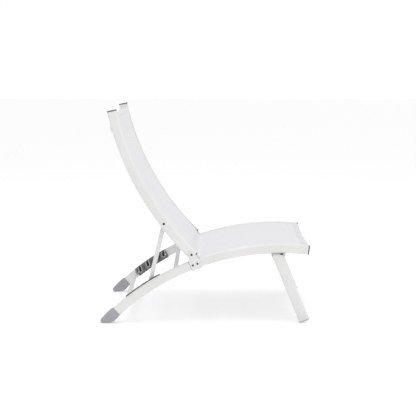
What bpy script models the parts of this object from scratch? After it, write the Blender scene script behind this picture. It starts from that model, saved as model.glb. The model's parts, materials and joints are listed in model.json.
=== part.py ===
"""Reclining sun lounger: a folding tube frame with a mesh sling.

Metres, +Z up, the front of the seat towards +X, the two sides mirrored about Y = 0.
The ground is Z = 0. The seat rails and the rear legs lie on one long arch; the backrest
rails lie on a second arc that starts at the hinge. Every piece is its own object.
"""
import math

import bmesh
import bpy
from mathutils import Matrix, Vector

# ---------------------------------------------------------------- driving dimensions
OVERALL_WIDTH = 0.600        # over the hinge brackets' outer plates
RAIL_WIDTH = 0.025           # oval tube, across the lounger
RAIL_DEPTH = 0.041           # oval tube, in the plane of the side
RAIL_CORNER = 0.0105         # rounding of the oval
RAIL_WALL = 0.0016           # the lateral tubes' wall too
GROOVE_DEPTH = 0.0055        # sling groove in the rails' inner rounding, from the inner face
GROOVE_WIDTH = 0.0022
SLING_DROP = 0.0045          # groove's middle below the rail's face towards the sitter
SLING_THICKNESS = 0.0012
SEAT_SLING_X = 0.0200        # where the seat's sling starts
SEAT_HEM = 0.0010            # its front end, behind the rail's end
BACK_SLING = 0.0400          # where the backrest's sling starts, from the hinge
BACK_HEM = 0.0110            # its upper end, below the rail's end

SEAT_TOP = 0.3490            # highest point of the seat rails
ARCH_RADIUS = 1.0530         # centre line of seat rail and rear leg
CROWN_X = 0.3305             # where the arch is highest
SEAT_FRONT_X = 0.4455        # seat rail's front end, without its cap
LEG_END_HEIGHT = 0.0500      # where the rear leg's tube ends, above the ground

HINGE_X = -0.0404            # station of the backrest hinge on the arch
HINGE_CLEARANCE = 0.0251     # hinge axis above the seat rail's top face
SEAM_X = -0.0614             # station where seat rail and rear leg meet
BRACKET_FRONT_X = -0.0180
BRACKET_PLATE = 0.0026
BRACKET_LUG = 0.0140         # radius of the bracket round the hinge axis
RIVET_STATIONS = (-0.0506, -0.0308)
JOINER_LENGTH = 0.090

BACK_RADIUS = 1.2415         # centre line of the backrest rail
BACK_LENGTH = 0.7075         # along the rail, hinge to the tube's top end
BACK_HEADING = 134.9         # degrees from +X, the rail's direction at the hinge
BACK_TAIL = 0.0120           # tube below the hinge axis
TOP_BAR_DROP = 0.0720        # top stretcher's middle, below the tube's top end
TOP_BAR_HEIGHT = 0.0300
TOP_BAR_DEPTH = 0.0170
TOP_BAR_PROUD = 0.0050       # how far it stands behind the rails

PROP_PIVOT = 0.1786          # along the backrest rail, from the hinge
PROP_SETBACK = 0.0020        # pivot behind the rail's centre line
STRUT_WIDTH = 0.0185
STRUT_THICKNESS = 0.0110
FOOT_BAR_RADIUS = 0.0050
RACK_START = 0.0700          # along the leg, from its lower end
RACK_MARGIN = 0.0190         # rack's end to the first pocket
RACK_PITCH = 0.0452
RACK_POCKETS = 4
REST_POCKET = 2              # counted from 0 at the lower end
RACK_THICKNESS = 0.0100
RACK_BACK = 0.0030           # wall behind the pockets
RACK_LOW = -0.0190           # rack's edges, from the leg's centre line
RACK_HIGH = 0.0232
POCKET_WIDTH = 0.0125
POCKET_LEAN = 24.0           # degrees the pocket's mouth leans towards the seat
SLOT_WIDTH = 0.0060
SLOT_REACH = (0.0050, 0.0120)  # slanted slot's ends, below and above the leg's centre line
SCREW_MARGIN = 0.0065        # rack's end to its screw
SCREW_SINK = 0.0024          # counterbore of the rack's screws

TOE_REACH = 0.0465           # rear foot: middle of the toe's rounding behind the leg's end
TOE_RADIUS = 0.0100
SOLE = ((0.032, 0.0), (0.048, 0.0045), (0.059, 0.0150))  # ahead of the toe's middle, above ground
FOOT_OVERLAP = 0.0008        # foot over the leg, each side

STRETCHER_RADIUS = 0.0100
LOWER_STRETCHER = 0.0560     # along the leg, from its lower end
UPPER_STRETCHER_X = -0.1280
SEAT_STRETCHER_X = 0.3950
SEAT_STRETCHER_DROP = 0.0060

FRONT_LEG_X = 0.2990         # station of the front leg's pin
FRONT_LEG_LEAN = 22.6        # degrees from upright
FRONT_LEG_DEPTH = 0.0460
FRONT_LEG_WIDTH = 0.0220
FRONT_LEG_CORNER = 0.0105
PLUG_ROUND = 0.0055          # rounding of the front foot plug
LEG_PIN_RADIUS = 0.0040
LEG_PIN_INSET = 0.0080       # pin to the leg's top and to its rear face
LEG_BRACKET = 0.0048         # base below the rail
LEG_BRACKET_LENGTH = 0.0600
LEG_BRACKET_LIP = 0.0014     # how far it rises round the rail's corners
LEG_EAR = 0.0050
LEG_EAR_RADIUS = 0.0095      # rounding of the ear round the pin
LEG_STOP_RADIUS = 0.0050     # rounded stop ahead of the front leg
CROSSBAR_HEIGHT = 0.0900     # front leg frame's bar above the ground
GROUND_FLAT = -0.0034        # where the plug's rear corner would reach, cut level at the ground

CAP = 0.0050                 # end caps and plugs, outside the tube
LOW_CAP = 0.0030             # cap on the backrest rail's lower end
SPIGOT = 0.0160              # end caps, inside the tube
BOLT_RADIUS = 0.0035
HEAD_RADIUS = 0.0050
HEAD = 0.0022
RIVET_RADIUS = 0.0024
RIVET_HEAD = 0.0043

GAP = 0.0003                 # between pieces that touch
CLEAR = 0.0006               # between pieces that move past each other
ROUND = 14                   # sides of round pieces
ARC_STEP = math.radians(2.6)  # longest step along the arcs

# ---------------------------------------------------------------- derived places
HINGE_RISE = RAIL_DEPTH / 2 + HINGE_CLEARANCE  # from the arch's centre line
RAIL_OUTER = OVERALL_WIDTH / 2 - BRACKET_PLATE - CLEAR
RAIL_MIDDLE = RAIL_OUTER - RAIL_WIDTH / 2
RAIL_INNER = RAIL_OUTER - RAIL_WIDTH
RACK_INNER = RAIL_INNER - GAP - RACK_THICKNESS
STRUT_OUTER = RACK_INNER - 5 * CLEAR
STRUT_INNER = STRUT_OUTER - STRUT_THICKNESS
SLING_OFFSET = RAIL_DEPTH / 2 - SLING_DROP  # from the rail's centre line
SIDES = {"left": 1, "right": -1}


def xz(x, z):
    """A point in the side's plane."""
    return Vector((x, 0.0, z))


ARCH_CENTRE = xz(CROWN_X, SEAT_TOP - RAIL_DEPTH / 2 - ARCH_RADIUS)


def polar(centre, radius, angle):
    """Point at radius and angle (radians from +X towards +Z) round a centre."""
    return centre + xz(radius * math.cos(angle), radius * math.sin(angle))


def arch_angle(x):
    """The arch's angle at the station x of its centre line."""
    return math.acos((x - CROWN_X) / ARCH_RADIUS)


def arch_at(angle, rise=0.0):
    """Point on the arch, rise above its centre line."""
    return polar(ARCH_CENTRE, ARCH_RADIUS + rise, angle)


LEG_END = math.pi - math.asin((LEG_END_HEIGHT - ARCH_CENTRE.z) / ARCH_RADIUS)
SEAM = arch_angle(SEAM_X)
SEAT_FRONT = arch_angle(SEAT_FRONT_X)


def up_leg(distance):
    """The arch's angle at a distance along the rear leg from its lower end."""
    return LEG_END - distance / ARCH_RADIUS


HINGE = arch_at(arch_angle(HINGE_X), HINGE_RISE)
BACK_START = math.radians(BACK_HEADING + 90.0)
BACK_CENTRE = polar(HINGE, -BACK_RADIUS, BACK_START)


def back_angle(distance):
    """The backrest arc's angle at a distance up the rail from the hinge."""
    return BACK_START - distance / BACK_RADIUS


def back_at(distance, forward=0.0):
    """Point on the backrest arc, forward of its centre line."""
    return polar(BACK_CENTRE, BACK_RADIUS - forward, back_angle(distance))


PROP_AXIS = back_at(PROP_PIVOT, -PROP_SETBACK)
POCKETS = [arch_at(up_leg(RACK_START + RACK_MARGIN + i * RACK_PITCH)) for i in range(RACK_POCKETS)]
FOOT = POCKETS[REST_POCKET]
RACK_END = RACK_START + 2 * RACK_MARGIN + (RACK_POCKETS - 1) * RACK_PITCH
RACK_SCREWS = [up_leg(RACK_START + SCREW_MARGIN), up_leg(RACK_END - SCREW_MARGIN)]

LEAN = math.radians(FRONT_LEG_LEAN)
LEG_DOWN = xz(math.sin(LEAN), -math.cos(LEAN))
LEG_AHEAD = xz(math.cos(LEAN), math.sin(LEAN))
LEG_TOP_Z = arch_at(arch_angle(FRONT_LEG_X), -RAIL_DEPTH / 2 - GAP - LEG_BRACKET).z - CLEAR
LEG_PIN = xz(FRONT_LEG_X, LEG_TOP_Z - LEG_PIN_INSET)
LEG_TOP = LEG_PIN + LEG_AHEAD * (FRONT_LEG_DEPTH / 2 - LEG_PIN_INSET)
PIN_END = RAIL_MIDDLE + FRONT_LEG_WIDTH / 2 - RAIL_WALL - 0.004  # where the leg's pin stops


# ---------------------------------------------------------------- scene helpers
def clear_scene():
    """Remove every object, mesh and material that the file opened with."""
    for thing in list(bpy.data.objects):
        bpy.data.objects.remove(thing, do_unlink=True)
    for store in (bpy.data.meshes, bpy.data.materials):
        for block in list(store):
            store.remove(block)


def finish(name, colour, roughness, metallic):
    """A Principled material."""
    material = bpy.data.materials.new(name)
    material.use_nodes = True
    shader = material.node_tree.nodes["Principled BSDF"]
    shader.inputs["Base Color"].default_value = (*colour, 1.0)
    shader.inputs["Roughness"].default_value = roughness
    shader.inputs["Metallic"].default_value = metallic
    return material


def pivot(name, place):
    """An empty on a joint's axis."""
    empty = bpy.data.objects.new(name, None)
    bpy.context.scene.collection.objects.link(empty)
    empty.location = place
    return empty


def piece(name, bm, material, parent=None):
    """Turn a closed bmesh in world coordinates into an object, its origin on its parent's."""
    bmesh.ops.recalc_face_normals(bm, faces=bm.faces)
    origin = parent.location if parent else Vector()
    bmesh.ops.translate(bm, verts=bm.verts, vec=-origin)
    mesh = bpy.data.meshes.new(name)
    bm.to_mesh(mesh)
    bm.free()
    mesh.shade_smooth()
    mesh.set_sharp_from_angle(angle=math.radians(35))
    mesh.materials.append(material)
    thing = bpy.data.objects.new(name, mesh)
    bpy.context.scene.collection.objects.link(thing)
    if parent:
        thing.parent = parent
    return thing


def cut(thing, cutter_bm, operation="DIFFERENCE"):
    """Apply a Boolean with a closed bmesh given in world coordinates."""
    bmesh.ops.recalc_face_normals(cutter_bm, faces=cutter_bm.faces)
    origin = thing.parent.location if thing.parent else Vector()
    bmesh.ops.translate(cutter_bm, verts=cutter_bm.verts, vec=-origin)
    mesh = bpy.data.meshes.new("cutter")
    cutter_bm.to_mesh(mesh)
    cutter_bm.free()
    cutter = bpy.data.objects.new("cutter", mesh)
    cutter.hide_render = True
    cutter.display_type = "WIRE"
    bpy.context.scene.collection.objects.link(cutter)
    cutter.parent = thing.parent
    modifier = thing.modifiers.new("cut", "BOOLEAN")
    modifier.operation = operation
    modifier.object = cutter
    bpy.context.view_layer.update()
    graph = bpy.context.evaluated_depsgraph_get()
    result = bpy.data.meshes.new_from_object(thing.evaluated_get(graph))
    thing.modifiers.clear()
    thing.data = result
    result.name = thing.name
    bpy.data.objects.remove(cutter, do_unlink=True)
    return thing


# ---------------------------------------------------------------- shape helpers
def oval(width, depth, corner, steps=3):
    """Rounded rectangle as (across, deep) pairs, anticlockwise from its inner front corner."""
    corner = min(corner, width / 2 - 1e-4, depth / 2 - 1e-4)
    points = []
    for quarter, (sx, sy) in enumerate(((1, 1), (-1, 1), (-1, -1), (1, -1))):
        centre = (sx * (width / 2 - corner), sy * (depth / 2 - corner))
        for i in range(steps + 1):
            turn = math.radians(90 * (quarter + i / steps))
            points.append((centre[0] + corner * math.cos(turn), centre[1] + corner * math.sin(turn)))
    return points


def rounded_edge(deep, corner):
    """Distance across to the rail's rounding, of that corner radius, at a depth above the flat."""
    above = max(0.0, deep - RAIL_DEPTH / 2 + RAIL_CORNER)
    return RAIL_WIDTH / 2 - RAIL_CORNER + math.sqrt(corner ** 2 - above ** 2)


def grooved_section():
    """Rail profile: outer and inner outline in step, with the sling groove in the inner rounding.

    Across is positive towards the lounger's middle, deep is positive towards the sitter. The
    metal above the groove is solid.
    """
    outer = oval(RAIL_WIDTH, RAIL_DEPTH, RAIL_CORNER)
    bore = RAIL_CORNER - RAIL_WALL
    inner = oval(RAIL_WIDTH - 2 * RAIL_WALL, RAIL_DEPTH - 2 * RAIL_WALL, bore)
    top = SLING_OFFSET + GROOVE_WIDTH / 2
    low = SLING_OFFSET - GROOVE_WIDTH / 2
    floor = RAIL_WIDTH / 2 - GROOVE_DEPTH
    back = floor - RAIL_WALL
    ceiling = RAIL_DEPTH / 2 - RAIL_CORNER + math.sqrt(bore ** 2 - (back - RAIL_WIDTH / 2 + RAIL_CORNER) ** 2)
    pairs = list(zip(outer, inner))
    first = pairs[:len(pairs) // 4]
    below = [pair for pair in first if pair[0][1] < low]
    lip = [pair for pair in first if pair[0][1] > top and pair[0][0] > back]
    above = [pair for pair in first if pair[0][1] > top and pair[0][0] <= back]
    step = (ceiling - low + RAIL_WALL) / (len(lip) + 2)
    behind = [(back, low - RAIL_WALL + step * i) for i in range(len(lip) + 3)]
    section = [((rounded_edge(low, RAIL_CORNER), low), (rounded_edge(low - RAIL_WALL, bore), low - RAIL_WALL)),
               ((floor, low), behind[0]), ((floor, top), behind[1]),
               ((rounded_edge(top, RAIL_CORNER), top), behind[2])]
    section += [(pair[0], place) for pair, place in zip(lip, behind[3:])]
    return section + above + pairs[len(pairs) // 4:] + below


def rail_plug():
    """Outline that fits inside the grooved tube, flat beside the groove."""
    inset = 2 * (RAIL_WALL + GAP)
    flat = RAIL_WIDTH / 2 - GROOVE_DEPTH - RAIL_WALL - GAP
    outline = oval(RAIL_WIDTH - inset, RAIL_DEPTH - inset, RAIL_CORNER - RAIL_WALL)
    return [(min(across, flat), deep) for across, deep in outline]


def plain_section(width, depth, corner, wall):
    """Tube profile without a groove: outer and inner outline in step."""
    outer = oval(width, depth, corner)
    inner = oval(width - 2 * wall, depth - 2 * wall, corner - wall)
    return list(zip(outer, inner))


def ring(bm, outline, place, side, deep_axis):
    """Vertices of an outline at a place; across runs along Y towards the middle."""
    return [bm.verts.new(place + deep_axis * deep - Vector((0, side * across, 0)))
            for across, deep in outline]


def radial(angle, facing):
    """Direction of a section's deep axis on an arc: facing is 1 outwards and -1 inwards."""
    return xz(math.cos(angle), math.sin(angle)) * facing


def spin(bm, centre, start, end):
    """Sweep the faces of bm round a centre, from one arc angle to another."""
    steps = max(2, math.ceil(abs(end - start) / ARC_STEP))
    bmesh.ops.spin(bm, geom=bm.verts[:] + bm.edges[:] + bm.faces[:], cent=centre, axis=(0, 1, 0),
                   angle=start - end, steps=steps, use_duplicate=False)
    bmesh.ops.remove_doubles(bm, verts=bm.verts, dist=1e-6)


def arc_tube(section, side, centre, radius, start, end, facing):
    """Hollow tube of a section along an arc."""
    bm = bmesh.new()
    place = polar(centre, radius, start) + Vector((0, side * RAIL_MIDDLE, 0))
    outer = ring(bm, [pair[0] for pair in section], place, side, radial(start, facing))
    inner = ring(bm, [pair[1] for pair in section], place, side, radial(start, facing))
    for i in range(len(outer)):
        j = (i + 1) % len(outer)
        bm.faces.new((outer[i], outer[j], inner[j], inner[i]))
    spin(bm, centre, start, end)
    return bm


def arc_bar(outline, side, middle, centre, radius, start, end, facing=1):
    """Solid bar of an outline along an arc; middle is the outline's distance from Y = 0."""
    bm = bmesh.new()
    place = polar(centre, radius, start) + Vector((0, side * middle, 0))
    bm.faces.new(ring(bm, outline, place, side, radial(start, facing)))
    spin(bm, centre, start, end)
    return bm


def rectangle(width, low, high):
    """Outline from low to high in depth."""
    return [(width / 2, low), (width / 2, high), (-width / 2, high), (-width / 2, low)]


def loft(rings):
    """Closed solid through rings of points, each ring with the same number of them."""
    bm = bmesh.new()
    loops = [[bm.verts.new(point) for point in points] for points in rings]
    bm.faces.new(loops[0])
    for lower, upper in zip(loops, loops[1:]):
        for i in range(len(lower)):
            j = (i + 1) % len(lower)
            bm.faces.new((lower[i], lower[j], upper[j], upper[i]))
    bm.faces.new(loops[-1])
    return bm


def prism(outline, y_from, y_to):
    """Solid between two Y positions, from an outline of points in the side's plane."""
    return loft([[point + Vector((0, y, 0)) for point in outline] for y in (y_from, y_to)])


def arc_points(centre, radius, start, end, steps):
    """Points on a circle in the side's plane, angles in degrees."""
    return [polar(centre, radius, math.radians(start + (end - start) * i / steps)) for i in range(steps + 1)]


def stadium(a, b, radius, steps=6):
    """Outline of a slot with round ends at a and b."""
    heading = math.degrees(math.atan2(b.z - a.z, b.x - a.x))
    return (arc_points(b, radius, heading - 90, heading + 90, steps)
            + arc_points(a, radius, heading + 90, heading + 270, steps))


def turned(place, side, profile, sides=ROUND):
    """Solid turned about an axis along Y; the profile is (radius, distance from Y = 0) pairs."""
    rings = []
    for radius, y in profile:
        rings.append([place + Vector((radius * math.cos(t), side * y, radius * math.sin(t)))
                      for t in (2 * math.pi * i / sides for i in range(sides))])
    return loft(rings)


def rod(place, radius, y_from, y_to, sides=ROUND):
    """Straight round solid along Y."""
    return turned(place, 1, [(radius, y_from), (radius, y_to)], sides)


def through_bolt(place, side, head_face, tail_face, radius=BOLT_RADIUS, head=HEAD_RADIUS, depth=HEAD):
    """Bolt with a domed head outboard of head_face and a flush end at tail_face."""
    outer = head_face + GAP
    profile = [(head * 0.72, outer + depth), (head, outer + depth * 0.45), (head, outer),
               (radius, outer), (radius, tail_face)]
    return turned(place, side, profile, 12)


def rivet(place, side, outer_face, inner_face):
    """Rivet closed on both faces."""
    outer = outer_face + GAP
    inner = inner_face - GAP
    profile = [(RIVET_HEAD * 0.6, outer + 0.0015), (RIVET_HEAD, outer + 0.0006), (RIVET_HEAD, outer),
               (RIVET_RADIUS, outer), (RIVET_RADIUS, inner), (RIVET_HEAD * 0.8, inner),
               (RIVET_HEAD * 0.6, inner - 0.0012)]
    return turned(place, side, profile, 12)


def nut(place, side, face, radius=0.0062, depth=0.0045):
    """Cap nut inboard of a face, closed over the bolt's end; its blind hole opens at the face."""
    start = face - GAP
    bore = BOLT_RADIUS + GAP
    profile = [(bore, start - depth * 0.6), (bore, start), (radius, start), (radius, start - depth * 0.7),
               (radius * 0.6, start - depth)]
    return turned(place, side, profile, 12)


# ---------------------------------------------------------------- seat and rear-leg frame
def cap_on_arc(centre, radius, angle, turn, side, facing, cap=CAP, spigot=SPIGOT, soften=0.003):
    """End cap on an arc's end: turn is the way out of the tube, +1 or -1 in arc angle."""
    full = oval(RAIL_WIDTH, RAIL_DEPTH, RAIL_CORNER)
    soft = oval(RAIL_WIDTH - soften, RAIL_DEPTH - soften, RAIL_CORNER - soften / 3)
    stations = [(rail_plug(), -spigot), (rail_plug(), GAP), (full, GAP), (full, cap * 0.6), (soft, cap)]
    rings = []
    for outline, distance in stations:
        here = angle + turn * distance / radius
        place = polar(centre, radius, here) + Vector((0, side * RAIL_MIDDLE, 0))
        deep_axis = radial(here, facing)
        rings.append([place + deep_axis * deep - Vector((0, side * across, 0)) for across, deep in outline])
    return loft(rings)


def seat_rail(side, word, material):
    """Grooved tube from the hinge bracket to the seat's front."""
    start = SEAM - GAP / ARCH_RADIUS
    bm = arc_tube(grooved_section(), side, ARCH_CENTRE, ARCH_RADIUS, start, SEAT_FRONT, 1)
    thing = piece(f"seat_rail_{word}", bm, material)
    for station in RIVET_STATIONS:
        place = arch_at(arch_angle(station))
        y = side * RAIL_MIDDLE
        cut(thing, rod(place, RIVET_RADIUS + GAP, y - RAIL_WIDTH, y + RAIL_WIDTH, 12))
    return thing


def rear_leg(side, word, material):
    """Plain tube from the hinge bracket down to the foot cap."""
    section = plain_section(RAIL_WIDTH, RAIL_DEPTH, RAIL_CORNER, RAIL_WALL)
    bm = arc_tube(section, side, ARCH_CENTRE, ARCH_RADIUS, LEG_END, SEAM + GAP / ARCH_RADIUS, 1)
    thing = piece(f"rear_leg_{word}", bm, material)
    for angle in RACK_SCREWS:
        face = side * RAIL_INNER
        cut(thing, rod(arch_at(angle), RIVET_RADIUS + GAP, face - side * 0.004, face + side * 0.004, 12))
    return thing


def rail_joiner(side, word, material):
    """Bar inside the two tubes across their seam."""
    half = JOINER_LENGTH / 2 / ARCH_RADIUS
    bm = arc_bar(rail_plug(), side, RAIL_MIDDLE, ARCH_CENTRE, ARCH_RADIUS, SEAM + half, SEAM - half)
    thing = piece(f"rail_joiner_{word}", bm, material)
    for station in RIVET_STATIONS:
        place = arch_at(arch_angle(station))
        y = side * RAIL_MIDDLE
        cut(thing, rod(place, RIVET_RADIUS + GAP, y - RAIL_WIDTH, y + RAIL_WIDTH, 12))
    return thing


def hinge_bracket(side, word, material):
    """Folded bracket: a plate on each face of the rails and a web under them."""
    below = -RAIL_DEPTH / 2 - GAP - BRACKET_PLATE
    rear, front = SEAM, arch_angle(BRACKET_FRONT_X)
    foot_of_lug = math.degrees(math.atan2(HINGE.z - ARCH_CENTRE.z, HINGE.x - ARCH_CENTRE.x))
    outline = [arch_at(rear + (front - rear) * i / 4, below) for i in range(5)]
    outline.append(arch_at(front, RAIL_DEPTH / 2 - RAIL_CORNER))
    outline += arc_points(HINGE, BRACKET_LUG, foot_of_lug - 78, foot_of_lug + 62, 12)
    outline.append(arch_at(rear, RAIL_DEPTH / 2))
    inner_plate = RAIL_INNER - CLEAR - BRACKET_PLATE
    outer_plate = RAIL_OUTER + CLEAR + BRACKET_PLATE
    thing = piece(f"hinge_bracket_{word}", prism(outline, side * inner_plate, side * outer_plate), material)
    room = RAIL_WIDTH + 2 * CLEAR
    channel = rectangle(room, -RAIL_DEPTH / 2 - GAP, 4 * RAIL_DEPTH)
    spread = 0.2
    cut(thing, arc_bar(channel, side, RAIL_MIDDLE, ARCH_CENTRE, ARCH_RADIUS, rear + spread, front - spread))
    y = side * RAIL_MIDDLE
    for station in RIVET_STATIONS:
        place = arch_at(arch_angle(station))
        cut(thing, rod(place, RIVET_RADIUS + GAP, y - 2 * RAIL_WIDTH, y + 2 * RAIL_WIDTH, 12))
    cut(thing, rod(HINGE, BOLT_RADIUS + GAP, y - 2 * RAIL_WIDTH, y + 2 * RAIL_WIDTH, 12))
    return thing


def bracket_rivets(side, word, material):
    """The two rivets that close a hinge bracket on the seat rail."""
    outer_plate = RAIL_OUTER + CLEAR + BRACKET_PLATE
    inner_plate = RAIL_INNER - CLEAR - BRACKET_PLATE
    for station, end in zip(RIVET_STATIONS, ("rear", "front")):
        bm = rivet(arch_at(arch_angle(station)), side, outer_plate, inner_plate)
        piece(f"bracket_rivet_{word}_{end}", bm, material)


def rear_foot_cap(side, word, material):
    """Boot-shaped foot over the leg's lower end, with a plug inside the tube."""
    half = RAIL_DEPTH / 2
    away = -GAP / ARCH_RADIUS
    top = arch_at(LEG_END - away, half)
    heel = arch_at(LEG_END - away, -half)
    toe = xz(top.x - TOE_REACH, TOE_RADIUS)
    outline = [top] + arc_points(toe, TOE_RADIUS, 140, 270, 6)
    outline += [xz(toe.x + ahead, above) for ahead, above in SOLE] + [heel]
    y_in, y_out = RAIL_INNER - FOOT_OVERLAP, RAIL_OUTER + FOOT_OVERLAP
    thing = piece(f"rear_foot_cap_{word}", prism(outline, side * y_in, side * y_out), material)
    inset = 2 * (RAIL_WALL + GAP)
    plug = oval(RAIL_WIDTH - inset, RAIL_DEPTH - inset, RAIL_CORNER - RAIL_WALL)
    cut(thing, arc_bar(plug, side, RAIL_MIDDLE, ARCH_CENTRE, ARCH_RADIUS,
                       LEG_END + 0.004 / ARCH_RADIUS, LEG_END - 0.03 / ARCH_RADIUS), "UNION")
    return thing


def pocket_cutter(place, side):
    """U-shaped pocket, open at the rack's upper edge."""
    outward = (place - ARCH_CENTRE).normalized()
    mouth = Matrix.Rotation(math.radians(POCKET_LEAN), 3, "Y") @ outward
    far = place + mouth * (2 * RACK_HIGH)
    floor = RAIL_INNER - GAP - RACK_BACK
    return prism(stadium(place, far, POCKET_WIDTH / 2), side * (RACK_INNER - 0.002), side * floor)


def slot_cutter(place, side):
    """Slanted blind slot between two pockets."""
    outward = (place - ARCH_CENTRE).normalized()
    lean = Matrix.Rotation(math.radians(POCKET_LEAN), 3, "Y") @ outward
    floor = RAIL_INNER - GAP - RACK_BACK
    ends = (place - lean * SLOT_REACH[0], place + lean * SLOT_REACH[1])
    return prism(stadium(*ends, SLOT_WIDTH / 2, 4), side * (RACK_INNER - 0.002), side * floor)


def rack(side, word, material):
    """Toothed plate on the rear leg's inner face."""
    outline = rectangle(RACK_THICKNESS, RACK_LOW, RACK_HIGH)
    middle = RACK_INNER + RACK_THICKNESS / 2
    bm = arc_bar(outline, side, middle, ARCH_CENTRE, ARCH_RADIUS, up_leg(RACK_START), up_leg(RACK_END))
    thing = piece(f"rack_{word}", bm, material)
    for place in POCKETS:
        cut(thing, pocket_cutter(place, side))
    for i in range(RACK_POCKETS - 1):
        middle_angle = up_leg(RACK_START + RACK_MARGIN + (i + 0.5) * RACK_PITCH)
        cut(thing, slot_cutter(arch_at(middle_angle), side))
    for angle in RACK_SCREWS:
        place = arch_at(angle)
        cut(thing, rod(place, RIVET_RADIUS + GAP, side * (RACK_INNER - 0.01), side * (RAIL_INNER + 0.01), 12))
        cut(thing, rod(place, RIVET_HEAD + GAP, side * (RACK_INNER - 0.01), side * (RACK_INNER + SCREW_SINK), 12))
    return thing


def rack_screws(side, word, material):
    """Two screws, their heads sunk in the rack, into the leg's inner wall."""
    seat = RACK_INNER + SCREW_SINK - GAP
    profile = [(RIVET_HEAD * 0.7, seat - 0.0016), (RIVET_HEAD, seat - 0.0006),
               (RIVET_HEAD, seat), (RIVET_RADIUS, seat),
               (RIVET_RADIUS, RAIL_INNER + RAIL_WALL + 0.002)]
    for angle, end in zip(RACK_SCREWS, ("low", "high")):
        piece(f"rack_screw_{word}_{end}", turned(arch_at(angle), side, profile, 12), material)


def stretcher(name, place, reach, material, radius=STRETCHER_RADIUS, parent=None):
    """Round tube between the two sides, its ends open against them."""
    outer = rod(place, radius, -reach, reach)
    thing = piece(name, outer, material, parent)
    return cut(thing, rod(place, radius - RAIL_WALL, -reach - 0.01, reach + 0.01))


def leg_bracket(side, word, material):
    """Saddle under the seat rail, with an ear for the front leg's pin and a stop ahead of the leg."""
    low = -RAIL_DEPTH / 2 - GAP - LEG_BRACKET
    start = arch_angle(FRONT_LEG_X - 0.0125)
    end = start - LEG_BRACKET_LENGTH / ARCH_RADIUS
    ear_outer = RAIL_MIDDLE - FRONT_LEG_WIDTH / 2 - CLEAR
    ear_inner = ear_outer - LEG_EAR
    width = RAIL_OUTER - ear_inner
    middle = (RAIL_OUTER + ear_inner) / 2
    outline = rectangle(width, low, low + LEG_BRACKET + LEG_BRACKET_LIP)
    bm = arc_bar(outline, side, middle, ARCH_CENTRE, ARCH_RADIUS, start, end)
    thing = piece(f"leg_bracket_{word}", bm, material)
    root = xz(LEG_PIN.x + 0.004, arch_at(start, low).z + 0.003)
    ear = prism(stadium(LEG_PIN, root, LEG_EAR_RADIUS), side * ear_inner, side * ear_outer)
    cut(thing, ear, "UNION")
    stop = front_leg_corner() + LEG_DOWN * 0.002 + LEG_AHEAD * (LEG_STOP_RADIUS + CLEAR)
    stop_bm = prism(stadium(stop, stop + xz(0, 0.005), LEG_STOP_RADIUS), side * (ear_inner + 0.001),
                    side * (RAIL_OUTER - 0.001))
    cut(thing, stop_bm, "UNION")
    rail = oval(RAIL_WIDTH + 2 * GAP, RAIL_DEPTH + 2 * GAP, RAIL_CORNER + GAP)
    cut(thing, arc_bar(rail, side, RAIL_MIDDLE, ARCH_CENTRE, ARCH_RADIUS, start + 0.02, end - 0.02))
    cut(thing, rod(LEG_PIN, LEG_PIN_RADIUS + GAP, side * (ear_inner - 0.01), side * (ear_outer + 0.002), 12))
    return thing


def front_leg_corner():
    """Upper front corner of the front leg, in the side's plane."""
    front = LEG_TOP + LEG_AHEAD * (FRONT_LEG_DEPTH / 2)
    return front + LEG_DOWN * ((LEG_TOP_Z - front.z) / LEG_DOWN.z)


def sling(name, centre, radius, start, end, material, parent=None):
    """Flat sheet whose side edges reach into the rails' grooves."""
    width = 2 * (RAIL_INNER + GROOVE_DEPTH - 2 * CLEAR)
    outline = rectangle(width, -SLING_THICKNESS / 2, SLING_THICKNESS / 2)
    return piece(name, arc_bar(outline, 1, 0.0, centre, radius, start, end), material, parent)


# ---------------------------------------------------------------- backrest
def backrest_rail(side, word, material, parent):
    """Grooved tube from just below the hinge to the top."""
    bm = arc_tube(grooved_section(), side, BACK_CENTRE, BACK_RADIUS,
                  back_angle(-BACK_TAIL), back_angle(BACK_LENGTH), -1)
    thing = piece(f"backrest_rail_{word}", bm, material, parent)
    y = side * RAIL_MIDDLE
    for place in (HINGE, PROP_AXIS):
        cut(thing, rod(place, BOLT_RADIUS + GAP, y - RAIL_WIDTH, y + RAIL_WIDTH, 12))
    return thing


def backrest_caps(side, word, material, parent):
    """Top and bottom end caps of one backrest rail."""
    top = cap_on_arc(BACK_CENTRE, BACK_RADIUS, back_angle(BACK_LENGTH), -1, side, -1)
    piece(f"backrest_top_cap_{word}", top, material, parent)
    short = BACK_TAIL - BOLT_RADIUS - 0.001
    low = cap_on_arc(BACK_CENTRE, BACK_RADIUS, back_angle(-BACK_TAIL), 1, side, -1, LOW_CAP, short, 0.004)
    piece(f"backrest_low_cap_{word}", low, material, parent)


def top_bar(material, parent):
    """Flat oval stretcher behind the sling, between the backrest rails."""
    distance = BACK_LENGTH - TOP_BAR_DROP
    forward = -RAIL_DEPTH / 2 - TOP_BAR_PROUD + TOP_BAR_DEPTH / 2
    place = back_at(distance, forward)
    angle = back_angle(distance)
    deep_axis = radial(angle, -1)
    up_axis = xz(math.sin(angle), -math.cos(angle))
    reach = RAIL_INNER - GAP
    outlines = (oval(TOP_BAR_HEIGHT, TOP_BAR_DEPTH, TOP_BAR_DEPTH / 2),
                oval(TOP_BAR_HEIGHT - 2 * RAIL_WALL, TOP_BAR_DEPTH - 2 * RAIL_WALL, TOP_BAR_DEPTH / 2 - RAIL_WALL))
    solids = []
    for outline, length in zip(outlines, (reach, reach + 0.01)):
        rings = [[place + up_axis * across + deep_axis * deep + Vector((0, y, 0)) for across, deep in outline]
                 for y in (-length, length)]
        solids.append(loft(rings))
    thing = piece("top_stretcher", solids[0], material, parent)
    return cut(thing, solids[1])


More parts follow.
